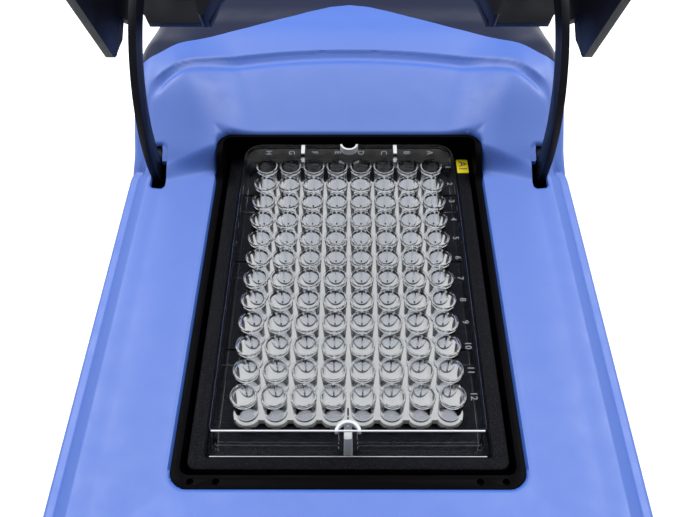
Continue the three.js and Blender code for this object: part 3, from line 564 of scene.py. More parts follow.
def rect_distance(x, y, x0, x1, y0, y1, r):
    """signed distance outside a rounded rectangle"""
    cx, cy, hx, hy = (x0 + x1) / 2, (y0 + y1) / 2, (x1 - x0) / 2 - r, (y1 - y0) / 2 - r
    qx, qy = np.abs(x - cx) - hx, np.abs(y - cy) - hy
    outside = np.hypot(np.maximum(qx, 0), np.maximum(qy, 0))
    return outside + np.minimum(np.maximum(qx, qy), 0) - r


def rounding(d, r):
    """how far a rounded edge of radius r falls, d inside the edge"""
    u = np.clip(1 - d / r, 0, 1)
    return r * (1 - np.sqrt(np.maximum(0, 1 - u * u)))


def low_surface(ax, y):
    """Deck that dips towards the opening, and the flanks outside the crest."""
    off = np.maximum(np.maximum(ax - OPEN_X, OPEN_FRONT - y), np.maximum(y - OPEN_REAR, 0))
    dip = 1.6 * (1 - smooth_step(0, 24, off)) ** 1.5
    deck = DECK_Z - dip + 0.5 * smooth_step(72, 78, ax)
    flank = np.maximum(CREST_Z - (ax - CREST_X) * 0.7, FLANK_Z)
    return np.where(ax > CREST_X, mix(flank, CREST_Z, smooth_step(100, 118, -y)), deck)


def raised_surface(ax, y):
    """Rear part: a middle field, a bulge on each side, and a grooved ridge across both."""
    centre = bent_line(y, 0.5, CENTRE_BENDS) - np.maximum(0, y - 158) ** 2 * 0.01
    bulge = bent_line(y, -2.8, BULGE_BENDS)
    valley = 50 + (y - 66) * 0.3        # x where the field meets the bulge
    far = smooth_step(118, 140, y)
    side = mix(smooth_step(valley - 15, valley + 13, ax), smooth_step(50, 80, ax), far)
    bulge = mix(bulge, np.minimum(bulge, centre), far)
    z = mix(centre, bulge, side)
    # the field stays low just behind the opening
    z = mix(np.minimum(z, 0.2), z, np.maximum(smooth_step(62, 70, y),
                                              smooth_step(valley - 3, valley + 3, ax)))
    # groove in front of the ridge line, a quick rise at it and a slow fall behind
    groove_depth, groove_width, groove_offset = 1.7, 2.6, 3
    q = y - (106.5 - 0.0017 * ax * ax - 0.047 * np.maximum(0, ax - 50) ** 1.7)
    groove = -groove_depth * np.exp(-(((q + groove_offset) / groove_width) ** 2))
    depth_at_ridge = groove_depth * math.exp(-((groove_offset / groove_width) ** 2))
    behind = np.maximum(q, 0)
    crest = 0.5 * np.exp(-behind / 3) - depth_at_ridge * np.exp(-behind / 0.6)
    z = z + (1 - smooth_step(74, 80, ax)) * np.where(q < 0, groove, crest)
    outer = np.minimum(FLANK_Z + np.maximum(0, y - 55) * 0.9, z)
    return mix(z, outer, smooth_step(77.5, 82.5, ax) * (1 - smooth_step(78, 92, y)))


def surface(x, y, fine):
    """Height of the housing's top; fine adds the small roundings at its openings."""
    ax = np.abs(x)
    step_y = 48.2 + (71 - np.clip(ax, 52, 71)) * 0.4
    rise = mix(smooth_step(-0.8, 5.8, y - step_y), smooth_step(50, 54, y),
               smooth_step(77.5, 79.5, ax))
    base = mix(low_surface(ax, y), raised_surface(ax, y), rise) - front_ramp(RAMP_Y - y)
    edge_radius = (1.6 + 6.4 * smooth_step(50, 66, y) + 6 * smooth_step(135, 160, y)
                   + 7.4 * smooth_step(100, 125, -y))
    z = base - rounding(edge_distance(x, y), edge_radius)
    if fine:
        to_opening = rect_distance(x, y, -OPEN_X, OPEN_X, OPEN_FRONT, OPEN_REAR, OPEN_R)
        z = z - rounding(np.maximum(0, to_opening), 1.3)
        to_slot = rect_distance(ax, y, *SLOT_X, *SLOT_Y, 1.95)
        z = z - rounding(np.maximum(0, to_slot), 0.5)
    return z


def grid_lines(spans):
    """Stations through spans of (start, end, step)."""
    lines = []
    for a, b, step in spans:
        n = max(1, int(round((b - a) / step)))
        lines += list(np.linspace(a, b, n + 1)[:-1])
    return lines + [spans[-1][1]]


def housing_solid(half_xs, ys, inset, bottom, fine, name="tool"):
    """Solid under the top surface, drawn in by inset at the sides and the top."""
    xs = np.array([-x for x in half_xs[:0:-1]] + list(half_xs))
    low, high = FRONT_Y + inset, REAR_Y - inset
    inner = np.array([y for y in ys if low + 0.05 < y < high - 0.05])
    ys = np.concatenate([[low], inner, [high]])
    outer_y = np.where(ys < FRONT_Y + FRONT_R, ys - inset * (1 - (ys - low) / FRONT_R),
                       np.where(ys > REAR_FROM,
                                ys + inset * (ys - REAR_FROM) / (high - REAR_FROM), ys))
    width = half_width(np.clip(outer_y, FRONT_Y, REAR_Y)) - inset
    X = xs[None, :] / HALF_WIDTH * width[:, None]
    Y = np.repeat(ys[:, None], len(xs), 1)
    Z = np.maximum(surface(X, Y, fine) - inset, bottom + 1)
    n, m = len(xs), len(ys)
    top = np.stack([X, Y, Z], -1).reshape(-1, 3)
    left = np.stack([X[:, 0], ys, np.full(m, bottom)], 1)
    right = np.stack([X[:, -1], ys, np.full(m, bottom)], 1)
    L, R = n * m, n * m + m     # first vertex of the left and right bottom edges
    faces = []
    for j in range(m - 1):
        a = j * n
        for i in range(n - 1):
            faces.append((a + i, a + i + 1, a + n + i + 1, a + n + i))
        faces.append((L + j, a, a + n, L + j + 1))
        faces.append((R + j, R + j + 1, a + n + n - 1, a + n - 1))
        faces.append((L + j, L + j + 1, R + j + 1, R + j))
    faces.append([L, R] + list(range(n))[::-1])
    faces.append([R + m - 1, L + m - 1] + [(m - 1) * n + i for i in range(n)])
    return make(np.concatenate([top, left, right]), faces, name)


# ---------------------------------------------------------------- upper housing and rear cover, the cover partly painted shade
OUTER_X = grid_lines([(0, 44, 2.2), (44, 56, 0.6), (56, 70.5, 0.9), (70.5, 78.5, 0.4),
                      (78.5, 86.8, 0.45)])
OUTER_Y = grid_lines([(-143, -138, 0.5), (-138, -112, 1.3), (-112, -96, 0.9), (-96, -78, 1.5),
                      (-78, -68, 0.6), (-68, 38, 3.5), (38, 70, 0.6), (70, 84, 0.8),
                      (84, 110, 0.55), (110, 160, 1.1), (160, 170.0, 0.5)])
INNER_X = grid_lines([(0, 44, 4), (44, 72, 2), (72, 86.8, 1.5)])
INNER_Y = grid_lines([(-143, -130, 2), (-130, -68, 3), (-68, 38, 10), (38, 110, 1.8),
                      (110, 170.0, 2.5)])
# pockets inside over the hinge and the arm: x0, x1, y0, y1, top
THINNED = ((67.8, 82.2, 91.5, 106, 13.2), (73.2, 77.1, 91, 106, 14.6), (73.2, 77.1, 58, 66, -0.2))

# control panel, on the front slope
PANEL_Y = -124.5
PANEL_Z = DECK_Z - float(front_ramp(np.array(RAMP_Y - PANEL_Y)))
PANEL_TILT = math.radians(43)
BUTTONS = {"mode": (-44, 0), "down": (40, -6.5), "up": (40, 6.5), "start_stop": (54, 0)}

# bodies of the mains inlet and switch, and the gap round them in the rear wall
INLET_X, SWITCH_X, SOCKET_Z, SOCKET_GAP = (-27.9, -0.5), (10.1, 23.9), (-47.9, -28.1), 0.3

# seam between housing and rear cover: distance from the centre line, y. It runs along the edge of
# the dark region behind the hood: at the sides a dark rear part is there, in the middle the dark is
# the hood's shadow on the housing, so there the dark cover is painted shade
SEAM = ((0, 147), (9, 145), (17.5, 139.5), (26, 132.5), (35, 126), (43, 121.5), (51, 118),
        (57, 115.3), (62, 112.8), (67, 109.6), (70.5, 106.2), (74, 101.8), (78, 97.3), (82, 94),
        (88, 90.5), (95, 88))
SEAM_GAP = 0.3


def on_panel(ob):
    """Moves an object drawn round the origin onto the sloping panel."""
    seat = Vector((0, (ORIGIN_Y + PANEL_Y) / 1000, (ORIGIN_Z + PANEL_Z) / 1000))
    origin = Vector((0, -ORIGIN_Y / 1000, -ORIGIN_Z / 1000))
    ob.data.transform(Matrix.Translation(seat) @ Matrix.Rotation(PANEL_TILT, 4, "X")
                      @ Matrix.Translation(origin))
    return ob


def seam_tool(shift, end_y):
    """Cutter from the shifted seam to end_y."""
    seam_x, seam_y = zip(*SEAM)
    line = [(x, np.interp(np.abs(x), seam_x, seam_y) + shift) for x in np.linspace(-95, 95, 141)]
    return prism(line + [(95, end_y), (-95, end_y)], -100, 60)


housing = housing_solid(OUTER_X, OUTER_Y, 0.0, PARTING_Z + 0.3, fine=True, name="housing_shell")
tools = [housing_solid(INNER_X, INNER_Y, WALL, PARTING_Z - 4, fine=False),
         prism(rrect(-OPEN_X, OPEN_X, OPEN_FRONT, OPEN_REAR, OPEN_R, 10), -40, 40)]
slot_outline = arc(SLOT_X[0] + SLOT_R, SLOT_Y[0] + SLOT_R, SLOT_R,
                   np.linspace(math.pi, 1.5 * math.pi, 8))
slot_outline += arc(SLOT_X[1] - SLOT_R, SLOT_Y[0] + SLOT_R, SLOT_R,
                    np.linspace(1.5 * math.pi, 2 * math.pi, 8))
slot_outline += [(SLOT_X[1], SLOT_Y[1]), (73.3, SLOT_Y[1]), (73.3, 55.6), (73.0, 55.2),
                 (SLOT_X[0], 55.2)]
for side in (-1, 1):
    tools.append(prism([(side * x, y) for x, y in slot_outline], -20, 14))
    for x0, x1, y0, y1, top in THINNED:
        tools.append(box(*span(side, x0, x1), y0, y1, -25, top))
tools.append(on_panel(box(-29, 25, -7.5, 7.5, -9, 9)))      # display
for x, y in BUTTONS.values():
    tools.append(on_panel(prism(circle(x, y, 4.6, 28), -9, 9)))
for x0, x1 in (INLET_X, SWITCH_X):
    tools.append(box(x0 - SOCKET_GAP, x1 + SOCKET_GAP, REAR_Y - 8, REAR_Y + 3,
                     SOCKET_Z[0] - SOCKET_GAP, SOCKET_Z[1] + SOCKET_GAP))
boolean(housing, tools)

# the dark cover beyond the seam is partly painted shade: in the middle it stands where the hood's
# shadow falls on the housing
rear_cover = add_object("rear_cover_shell", housing.data.copy())
boolean(housing, [seam_tool(-SEAM_GAP / 2, 260)])
boolean(rear_cover, [seam_tool(SEAM_GAP / 2, -260)])
piece(sharpen(housing, 38), "base", "housing_blue", "upper_housing")
piece(sharpen(rear_cover, 38), "base", "cover_dark", "rear_cover")

# ---------------------------------------------------------------- materials of plate and prints
clear_plastic("clear_plastic")
plastic("base_sheet", srgb(186, 184, 178), rough=0.5, grain=500, depth=1e-5, wear=0.0, vary=0.03,
        specular=0.2)
plastic("mark_grey", srgb(112, 116, 124), grain=600, depth=2e-5, wear=0.0, vary=0.05)
# light grey of the plate's edge strips: painted highlight along the bright edges
plastic("frosted", srgb(196, 199, 202), grain=600, depth=2e-5, wear=0.0, vary=0.05)
plastic("ink_blue", srgb(20, 34, 90), rough=0.5, grain=500, depth=1e-5, wear=0.0)
plastic("digit", srgb(120, 235, 190), grain=500, depth=1e-5, wear=0.0)
plastic("light_print", srgb(214, 219, 230), rough=0.5, grain=500, depth=1e-5, wear=0.05,
        name="print")

# ---------------------------------------------------------------- microplate
PITCH = 9.0
COLUMN_X = [(c - 3.5) * PITCH for c in range(8)]
ROW_Y = [(r - 5.5) * PITCH for r in range(12)]
WELLS = [(x, y) for y in ROW_Y for x in COLUMN_X]
FLANGE_X, FLANGE_Y = 42.6, 63.74            # half sizes
FRONT_NOTCH_Y, FRONT_NOTCH_R = -61.6, 3.0
REAR_NOTCH_Y, REAR_NOTCH_R = 62.2, 2.7
TAB_X = (-18.0, 18.0)                       # along the rear edge


def plate_loft(rows, name="tool"):
    """Each row is half width, front y, rear y, rear corner radius, front corner radius, z."""
    rings = []
    for half_x, y0, y1, rear_r, front_r, z in rows:
        right = arc(half_x - front_r, y0 + front_r, front_r, degrees_between(-90, 0, 7))
        right += arc(half_x - rear_r, y1 - rear_r, rear_r, degrees_between(0, 90, 15))
        rings.append((right + [(-x, y) for x, y in right[::-1]], z))
    return loft(rings, name)


def arch(cy, inner_r, outer_r, side, margin, count, z0, z1):
    """Half ring on the centre line that arches to the rear (side 1) or the front (side -1)."""
    outer = arc(0, cy, outer_r, side * np.linspace(margin, math.pi - margin, count))
    inner = arc(0, cy, inner_r, side * np.linspace(math.pi - margin, margin, count))
    return prism(outer + inner, z0, z1)


plate = plate_loft([(41.2, -61.75, 62.5, 6.7, 1.4, -12.6), (40.7, -61.2, 62.0, 6.7, 1.4, -0.35),
                    (40.45, -60.95, 61.75, 6.5, 1.2, 0.0)], "microplate_clear")
flange = plate_loft([(FLANGE_X, -FLANGE_Y, FLANGE_Y, 3.0, 2.2, -14.25),
                     (FLANGE_X, -FLANGE_Y, FLANGE_Y, 3.0, 2.2, -12.4),
                     (FLANGE_X - 0.3, -FLANGE_Y + 0.3, FLANGE_Y - 0.3, 2.8, 2.0, -12.1)])
boolean(plate, [flange], "UNION")
underside = plate_loft([(40.1, -60.7, 61.4, 5.9, 0.8, -16.0), (39.5, -60.0, 60.8, 5.6, 0.8, -1.9)])
top_recess = plate_loft([(39.6, -60.1, 60.9, 5.6, 0.8, -0.75), (39.7, -60.2, 61.0, 5.7, 0.8, 1.5)])
boolean(plate, [underside, top_recess])
boolean(plate, [revolve([(0, -11.3), (3.45, -11.3), (3.62, -11.1), (4.05, -2.0), (4.14, -0.16),
                         (4.0, 0.0), (0, 0.0)], WELLS, 32)], "UNION")
# short ribs tying the wells together along the plate, and the margin ribs
ribs = []
for x in COLUMN_X:
    for r in range(1, 12):
        y = (r - 6) * PITCH
        ribs.append(box(x - 0.28, x + 0.28, y - 0.75, y + 0.75, -7.5, -1.0))
for y in (35.2, 3.4, -32.5):
    for side in (-1, 1):
        ribs.append(box(*span(side, 35.2, 40.2), y - 0.3, y + 0.3, -11.0, -1.2))
ribs.append(box(-0.25, 0.25, -60.6, -53.0, -9.0, -1.2))
for x in TAB_X:
    ribs.append(box(x - 0.6, x + 0.6, 55.8, 61.6, -4.0, -0.05))
    ribs.append(box(x - 0.8, x + 0.8, 54.4, 55.2, -6.0, -1.2))
boolean(plate, [join(ribs)], "UNION")
well_bores = revolve([(0, -10.6), (2.95, -10.6), (3.14, -10.4), (3.42, -0.5), (3.55, -0.12),
                      (3.72, 0.6), (0, 0.6)], WELLS, 32)
boolean(plate, [well_bores, cylinder(0.0, FRONT_NOTCH_Y, FRONT_NOTCH_R, -13.0, 2.0, 32),
                cylinder(0.0, REAR_NOTCH_Y, REAR_NOTCH_R, -3.2, 2.0, 32)])

# strips along the plate's front edges, round both notches, on the front rib and on the tabs; their
# light grey is painted highlight
edge_parts = [arch(FRONT_NOTCH_Y, FRONT_NOTCH_R, 3.9, 1, 0.04, 25, -1.6, 0.06),
              rrect_loft([(-1.35, 1.35, -63.3, -58.2, 0.5, -12.6),
                          (-1.2, 1.2, -62.6, -58.4, 0.5, -2.6)], 4),
              arch(REAR_NOTCH_Y, REAR_NOTCH_R, 3.5, -1, 0.1, 21, -3.2, 0.0),
              box(-40.0, 40.0, -61.35, -60.95, -0.5, 0.02),
              box(-42.0, 42.0, -63.7, -63.5, -12.9, -12.2)]
edge_parts += [box(x - 0.7, x + 0.7, 56.6, 61.2, -0.3, 0.12) for x in TAB_X]
edges = join(edge_parts, "microplate_edges")
# nothing reaches beyond the flange's ends
boolean(plate, [box(-60, 60, -80, -FLANGE_Y, -20, 5), box(-60, 60, FLANGE_Y, 80, -20, 5)])
piece(sharpen(plate, 28), "plate", "clear_plastic", "microplate")

characters = [text_mesh(letter, 3.4, 0.35, x, 57.6, -0.62)
              for letter, x in zip("ABCDEFGH", COLUMN_X[::-1])]
characters += [text_mesh(str(i + 1), 2.9, 0.35, 37.9, y, -0.62)
               for i, y in enumerate(ROW_Y[::-1])]
characters = join(characters, "microplate_characters")
for ob, slot in ((characters, "mark_grey"), (edges, "frosted")):
    piece(ob, "plate", slot)

# sheet under the wells, with a round lobe at each
SHEET_Z, SHEET_TOP = -13.9, -11.55
sheet = prism(rect(-35.5, 35.5, -52.0, 52.0), SHEET_Z, SHEET_TOP, name="microplate_base")
boolean(sheet, [revolve([(0, SHEET_Z), (4.5, SHEET_Z), (4.5, -12.0), (4.35, -11.7),
                         (4.0, SHEET_TOP), (0, SHEET_TOP)], WELLS, 36)], "UNION")
piece(sharpen(sheet, 35), "plate", "base_sheet")

# ---------------------------------------------------------------- nest and its label
nest = rrect_loft([(-48.3, 48.3, -68.3, 65.5, 3.0, -18.5), (-48.3, 48.3, -68.3, 65.5, 3.0, -11.6),
                   (-48.12, 48.12, -68.12, 65.32, 2.8, -11.17),
                   (-47.7, 47.7, -67.7, 64.9, 2.5, -11.0)], 8, "nest")
boolean(nest, [rrect_loft([(-43.19, 43.19, -64.33, 64.33, 1.0, -14.4),
                           (-43.19, 43.19, -64.33, 64.33, 1.0, -11.5),
                           (-43.8, 43.8, -64.9, 64.9, 1.4, -10.9)], 4)])
piece(sharpen(nest, 32), "platform", "nest_black", "plate_nest")
label = rrect_loft([(43.5, 48.1, 56.8, 64.4, 0.5, -10.95), (43.5, 48.1, 56.8, 64.4, 0.5, -10.7),
                    (43.6, 48.0, 56.9, 64.3, 0.45, -10.65)], 4, "label_a1")
piece(label, "platform", "label_yellow", "a1_label")
label_text = text_mesh("A1", 4.6, 0.1, 45.8, 60.6, -10.63, name="label_text")
piece(label_text, "platform", "ink_blue")

# ---------------------------------------------------------------- liner of the opening
LINER_GAP = 0.3
# (y, z) region cut from the top: the rim is low at the front and climbs to the rear
RIM_CUT = [(-90, -8.9), (49.5, -8.9), (52, -7.4), (55, -3.4), (57.5, -1.2), (59, -0.5), (62, 0.0),
           (70, 0.2), (70, 9), (-90, 9)]
liner = prism(rrect(-(OPEN_X - LINER_GAP), OPEN_X - LINER_GAP, OPEN_FRONT + LINER_GAP,
                    OPEN_REAR - LINER_GAP, OPEN_R - LINER_GAP, 10), -30, 4, name="liner")
boolean(liner, [prism(rrect(-49.7, 49.7, -70.9, 66.0, 3), -28.4, 6),
                prism(rrect(-41, 41, -58, 57, 6), -32, -20),
                prism(RIM_CUT, -60, 60, axis="x"),
                revolve([(0, -10.6), (1.0, -10.6), (1.15, -7.0), (0, -7.0)],
                        [(x, -73.0) for x in (-46, -38.5, 38.5, 46)], 24)])
bevel(liner, 0.45, 3)
piece(sharpen(liner, 35), "base", "liner_black", "well_liner")

# ---------------------------------------------------------------- lower housing and feet
TRAY_GAP, TRAY_WALL, TRAY_EDGE_Z = 0.3, 3.0, -80.0
POSTS = [(-74, -112), (74, -112), (-66, 126), (66, 126)]


def footprint(inset):
    """Plan of the housing, drawn in by inset."""
    right = [(float(half_width(y)) - inset,
              min(REAR_Y - inset, max(FRONT_Y + inset, float(y))))
             for y in outline_stations(14, [-60, 0, 60], 26)]
    return right + [(-x, y) for x, y in right[::-1]]


rings = [(footprint(TRAY_GAP + TRAY_WALL * (1 - math.sin(a))),
          TRAY_EDGE_Z - TRAY_WALL * math.cos(a)) for a in np.linspace(0, math.pi / 2, 7)]
rings += [(footprint(TRAY_GAP), PARTING_Z - 0.6), (footprint(0.6), PARTING_Z)]
tray = loft(rings, "lower_housing_visual")
tray_inside = footprint(TRAY_GAP + TRAY_WALL)
boolean(tray, [loft([(tray_inside, TRAY_EDGE_Z), (tray_inside, -50.0)])])
boolean(tray, [cylinder(x, y, 5.0, -82.0, -60.2, 24) for x, y in POSTS], "UNION")
tools = [cylinder(x, y, 3.5, -84.0, -74.0, 28) for x, y in POSTS]       # from below
tools += [cylinder(x, y, 1.9, -75.0, -55.0, 20) for x, y in POSTS]      # on through the top
# slits in the floor
tools += [prism(rrect(i * 9 - 1.5, i * 9 + 1.5, 82, 116, 1.45, 6), -86, -78)
          for i in range(-2, 3)]
tools += [prism(rrect(x - 12, x + 12, -98, -95, 1.45, 6), -86, -78) for x in (-30, 30)]
boolean(tray, tools)
piece(sharpen(tray, 35), "base", "base_grey", "lower_housing")

FOOT_PROFILE = [(0, FLOOR_Z), (7.1, FLOOR_Z), (7.5, -87.85), (7.7, -87.5), (8.8, -86.8),
                (9.0, -86.4), (9.0, -83.6), (8.7, -83.3), (0, -83.3)]
for end, y in (("front", -90), ("rear", 100)):
    for side_name, x in (("left", -70), ("right", 70)):
        name = f"foot_{end}_{side_name}"
        foot = revolve(FOOT_PROFILE, [(x, y)], 40, name + "_visual")
        piece(sharpen(foot, 35), "base", "rubber_foot", name)

# ---------------------------------------------------------------- control panel
PANEL_BOTTOM, PANEL_TOP = 0.45, 1.35
BAR = (-1.5, 1.5, -0.25, 0.25)
# raised marks on each button: x0, x1, y0, y1 from its centre
BUTTON_MARKS = {"mode": [BAR, (-1.5, 1.5, 0.75, 1.25), (-1.5, 1.5, -1.25, -0.75)],
                "down": [BAR],
                "up": [BAR, (-0.25, 0.25, -1.5, 1.5)],
                "start_stop": [(-1.1, 1.1, -1.1, 1.1)]}
BUTTON_PROFILE = [(0, -6.4), (5.6, -6.4), (5.6, -5.4), (3.9, -5.4), (3.9, 1.9), (3.75, 2.35),
                  (3.4, 2.6), (2.6, 2.5), (0, 2.35)]

overlay = prism(rrect(-62, 66, -14, 14, 5, 10), PANEL_BOTTOM, PANEL_TOP,
                name="panel_overlay_visual")
boolean(overlay, [prism(rrect(-32, 28, -10, 10, 1.8, 6), -2, 4)]
        + [prism(circle(x, y, 4.4, 40), -2, 4) for x, y in BUTTONS.values()])
bevel(overlay, 0.18, 2)
piece(on_panel(sharpen(overlay, 32)), "base", "panel_dark", "panel_overlay")
window = rrect_loft([(-31.7, 27.7, -9.7, 9.7, 1.5, PANEL_BOTTOM),
                     (-31.7, 27.7, -9.7, 9.7, 1.5, 1.2),
                     (-31.5, 27.5, -9.5, 9.5, 1.4, PANEL_TOP)], 6, "display_window_visual")
piece(on_panel(sharpen(window, 30)), "base", "display", "display_window")
digits = join([text_mesh("500", 9.0, 0.1, -17.0, 0.0, 1.37, turn=0.0),
               text_mesh("12:00", 6.0, 0.1, 12.5, 0.0, 1.37, turn=0.0)], "display_digits")
piece(on_panel(digits), "base", "digit")
for key, (x, y) in BUTTONS.items():
    button = revolve(BUTTON_PROFILE, [(x, y)], 40, f"button_{key}_visual")
    boolean(button, [box(x + x0, x + x1, y + y0, y + y1, 2.25, 2.58)
                     for x0, x1, y0, y1 in BUTTON_MARKS[key]], "UNION")
    slot = "button_green" if key == "start_stop" else "button_grey"
    piece(on_panel(sharpen(button, 32)), "key_" + key, slot, "button_" + key)

# ---------------------------------------------------------------- mains inlet and switch
BEZEL_Z = (-50, -26)
BEZEL_Y = REAR_Y + 0.3

inlet = prism(rrect(-30.5, 2.1, *BEZEL_Z, 2.0, 6), BEZEL_Y, REAR_Y + 2.0, axis="y",
              name="power_inlet_visual")
bevel(inlet, 0.35, 3)
boolean(inlet, [prism(rrect(*INLET_X, *SOCKET_Z, 1.5, 5), REAR_Y - 19, REAR_Y + 0.6, axis="y")],
        "UNION")
socket = [(-25.6, -45.4), (-2.8, -45.4), (-2.8, -34.6), (-6.4, -30.6), (-22.0, -30.6),
          (-25.6, -34.6)]
boolean(inlet, [prism(socket, REAR_Y - 14, REAR_Y + 4, axis="y")])
pins = [prism(rect(x - 1.0, x + 1.0, z - 2.2, z + 2.2), REAR_Y - 15, REAR_Y - 3, axis="y")
        for x, z in ((-21.2, -40.4), (-14.2, -37.0), (-7.2, -40.4))]
boolean(inlet, pins, "UNION")
piece(sharpen(inlet, 32), "base", "electrics_black", "power_inlet")

switch = prism(rrect(8.2, 25.8, *BEZEL_Z, 1.6, 6), BEZEL_Y, REAR_Y + 1.8, axis="y",
               name="switch_frame_visual")
bevel(switch, 0.35, 3)
boolean(switch, [prism(rrect(*SWITCH_X, *SOCKET_Z, 1.2, 5), REAR_Y - 14, REAR_Y + 0.6, axis="y")],
        "UNION")
boolean(switch, [prism(rrect(11.8, 22.2, -46.2, -29.8, 0.6, 4), REAR_Y - 9, REAR_Y + 4,
                       axis="y")])
piece(sharpen(switch, 32), "base", "electrics_black", "switch_frame")

rocker_y, rocker_z = REAR_Y - 2.5, -38.0
rocker = [(rocker_y - 3.5, rocker_z + 4), (rocker_y - 3.5, rocker_z - 4),
          (rocker_y + 3.2, rocker_z - 7.3)]
rocker += [(REAR_Y + 1.7 * (abs(t) ** 2.2), rocker_z + 6.8 * t)     # hollow face
           for t in np.linspace(-1, 1, 21)]
rocker += [(rocker_y + 3.2, rocker_z + 7.3)]
rocker = prism(rocker, 12.3, 21.7, axis="x", name="switch_rocker_visual")
bevel(rocker, 0.25, 2)
piece(sharpen(rocker, 32), "rocker", "electrics_black", "switch_rocker")

# ---------------------------------------------------------------- hood, drawn closed
HOOD_X, HOOD_FRONT, HOOD_REAR, HOOD_TOP = 86.5, -97, 66.2, 38.5
HOOD_WALL, HOOD_CORNER_R, HOOD_RIM_Z = 3.0, 10.0, -7.5


def hood_block(inset, bottom, top_radius, name="tool"):
    half_x, front, rear = HOOD_X - inset, HOOD_FRONT + inset, HOOD_REAR - inset
    corner = HOOD_CORNER_R - inset
    rows = [(-half_x, half_x, front, rear, corner, bottom)]
    for a in np.linspace(0, math.pi / 2, 9):
        k = top_radius * (1 - math.cos(a))
        rows.append((-half_x + k, half_x - k, front + k, rear - k, max(corner - k, 0.6),
                     HOOD_TOP - inset - top_radius + top_radius * math.sin(a)))
    return rrect_loft(rows, 8, name, hood=True)


def across(points, x0, x1, name="tool"):
    """Hood solid of a (y, z) outline along x."""
    return prism(points, x0, x1, "x", name, hood=True)


def along(points, y0, y1):
    """Hood solid of an (x, z) outline along y."""
    return prism(points, y0, y1, "y", hood=True)


# (y, z) region cut from below at the rear
REAR_UNDERCUT = [(46, HOOD_RIM_Z), (54.9, HOOD_RIM_Z)]
REAR_UNDERCUT += arc(55.1, -4.7, 2.8, np.linspace(0.1, math.radians(55), 7) - math.pi / 2)
REAR_UNDERCUT += [(61.3, 0.2), (66.2, 7.1), (68, 10), (75, 10), (75, -14), (46, -14)]
# (x, z) outlines on the right side
REAR_MOUTH = [(52.2, 5), (51.6, 8.6), (47.6, 19.5), (45.6, 22), (42, 23)]
ARM_NOTCH = [(74.2, 5), (74.4, 10), (76.4, 14.2), (77.2, 15), (77.4, 5)]
MOUTH_RIB = [(43.6, 30), (47.7, 19.3), (51.9, 9.2), (52.5, 8.6), (53.4, 8.5), (54.3, 9.2),
             (58.1, 19.3), (61.8, 30), (61.8, 36), (43.6, 36)]

hood = hood_block(0, -22.7, 5.0, "hood_shell_visual")
tools = [hood_block(HOOD_WALL, -26.7, 4.0),
         across(rect(-130, 90, -50.7, HOOD_RIM_Z), -100, 100),
         across(REAR_UNDERCUT, -100, 100),
         across(rect(58, 75, -20, 10), -83.4, 83.4),
         along([(-x, z) for x, z in REAR_MOUTH] + REAR_MOUTH[::-1], 58, 70),
         across(rect(-105, -90, -12, -5.4), -83, 83)]
tools += [along([(side * x, z) for x, z in ARM_NOTCH], 58, 70) for side in (-1, 1)]
boolean(hood, tools)
tools = []
for side in (-1, 1):
    tools.append(along([(side * x, z) for x, z in MOUTH_RIB], 54.8, 63.8))
    # pad the arm's foot is seated on
    tools.append(prism(rrect(*span(side, 63, 78), 46, 60, 1.5, 4), 33.6, 36, hood=True))
boolean(hood, tools, "UNION")
bevel(hood, 1.1, 4, 42)
piece(sharpen(hood, 34), "hood", "hood_black", "hood_shell")
hood_liner = rrect_loft([(-75, 75, -86, 40, 4, 33.7), (-75, 75, -86, 40, 4, 34.8),
                         (-74.7, 74.7, -85.7, 39.7, 3.7, 35.1)], 6, "hood_liner_visual",
                        hood=True)
piece(sharpen(hood_liner, 30), "hood", "insulation", "hood_liner")

# ---------------------------------------------------------------- hood arms
ARM_R, ARM_WIDTH, ARM_THICK, ARM_X = 52.8, 8.9, 2.7, 76.5    # ARM_X is the outer face
ARM_INNER_R = ARM_R - ARM_WIDTH
ARM_TOP = 33.3


def about_pivot(r, angle):
    """Point in front of the pivot, at an angle in degrees above the horizontal."""
    return (PIVOT_Y - r * math.cos(math.radians(angle)), PIVOT_Z + r * math.sin(math.radians(angle)))


arm_outline = [about_pivot(ARM_R, 27 - i * 115 / 64) for i in range(65)]
arm_outline += [about_pivot(ARM_R - 1.5, -90), (PIVOT_Y + 4.6, PIVOT_Z - 8)]
arm_outline += arc(PIVOT_Y, PIVOT_Z, 4.9,                   # eye round the pivot
                   [math.radians(-10 + i * 198 / 24) for i in range(25)])
arm_outline += [(PIVOT_Y - 5.2, PIVOT_Z - 6), (PIVOT_Y - 6.3, PIVOT_Z - 24),
                about_pivot(ARM_INNER_R - 0.6, -78)]
arm_outline += [about_pivot(ARM_INNER_R, -73 + i * 106 / 56) for i in range(57)]

for side_name, side in (("left", -1), ("right", 1)):
    x0, x1 = span(side, ARM_X - ARM_THICK, ARM_X)
    arm = across(arm_outline, x0, x1, f"hood_arm_{side_name}_visual")
    arm_foot = rrect(*span(side, 65, ARM_X), 48, 59, 0.8, 4)
    boolean(arm, [prism(arm_foot, 31, ARM_TOP, hood=True)], "UNION")
    boolean(arm, [prism(rect(-100, 100, 30, 80), ARM_TOP, 50, hood=True),
                  across(circle(PIVOT_Y, PIVOT_Z, 2.8, 32), x0 - 1, x1 + 1),
                  prism(circle(side * 69, 53.5, 1.8, 24), 28, 40, hood=True)])
    bevel(arm, 0.4, 2)
    # three shallow round marks on the outer flank
    boolean(arm, [across(circle(*about_pivot(ARM_R - 4.4, -52 - 4.2 * k), 0.9, 20),
                         *span(side, ARM_X + 0.12, ARM_X - 0.5)) for k in range(3)], "UNION")
    piece(sharpen(arm, 32), "hood", "hood_black", "hood_arm_" + side_name)

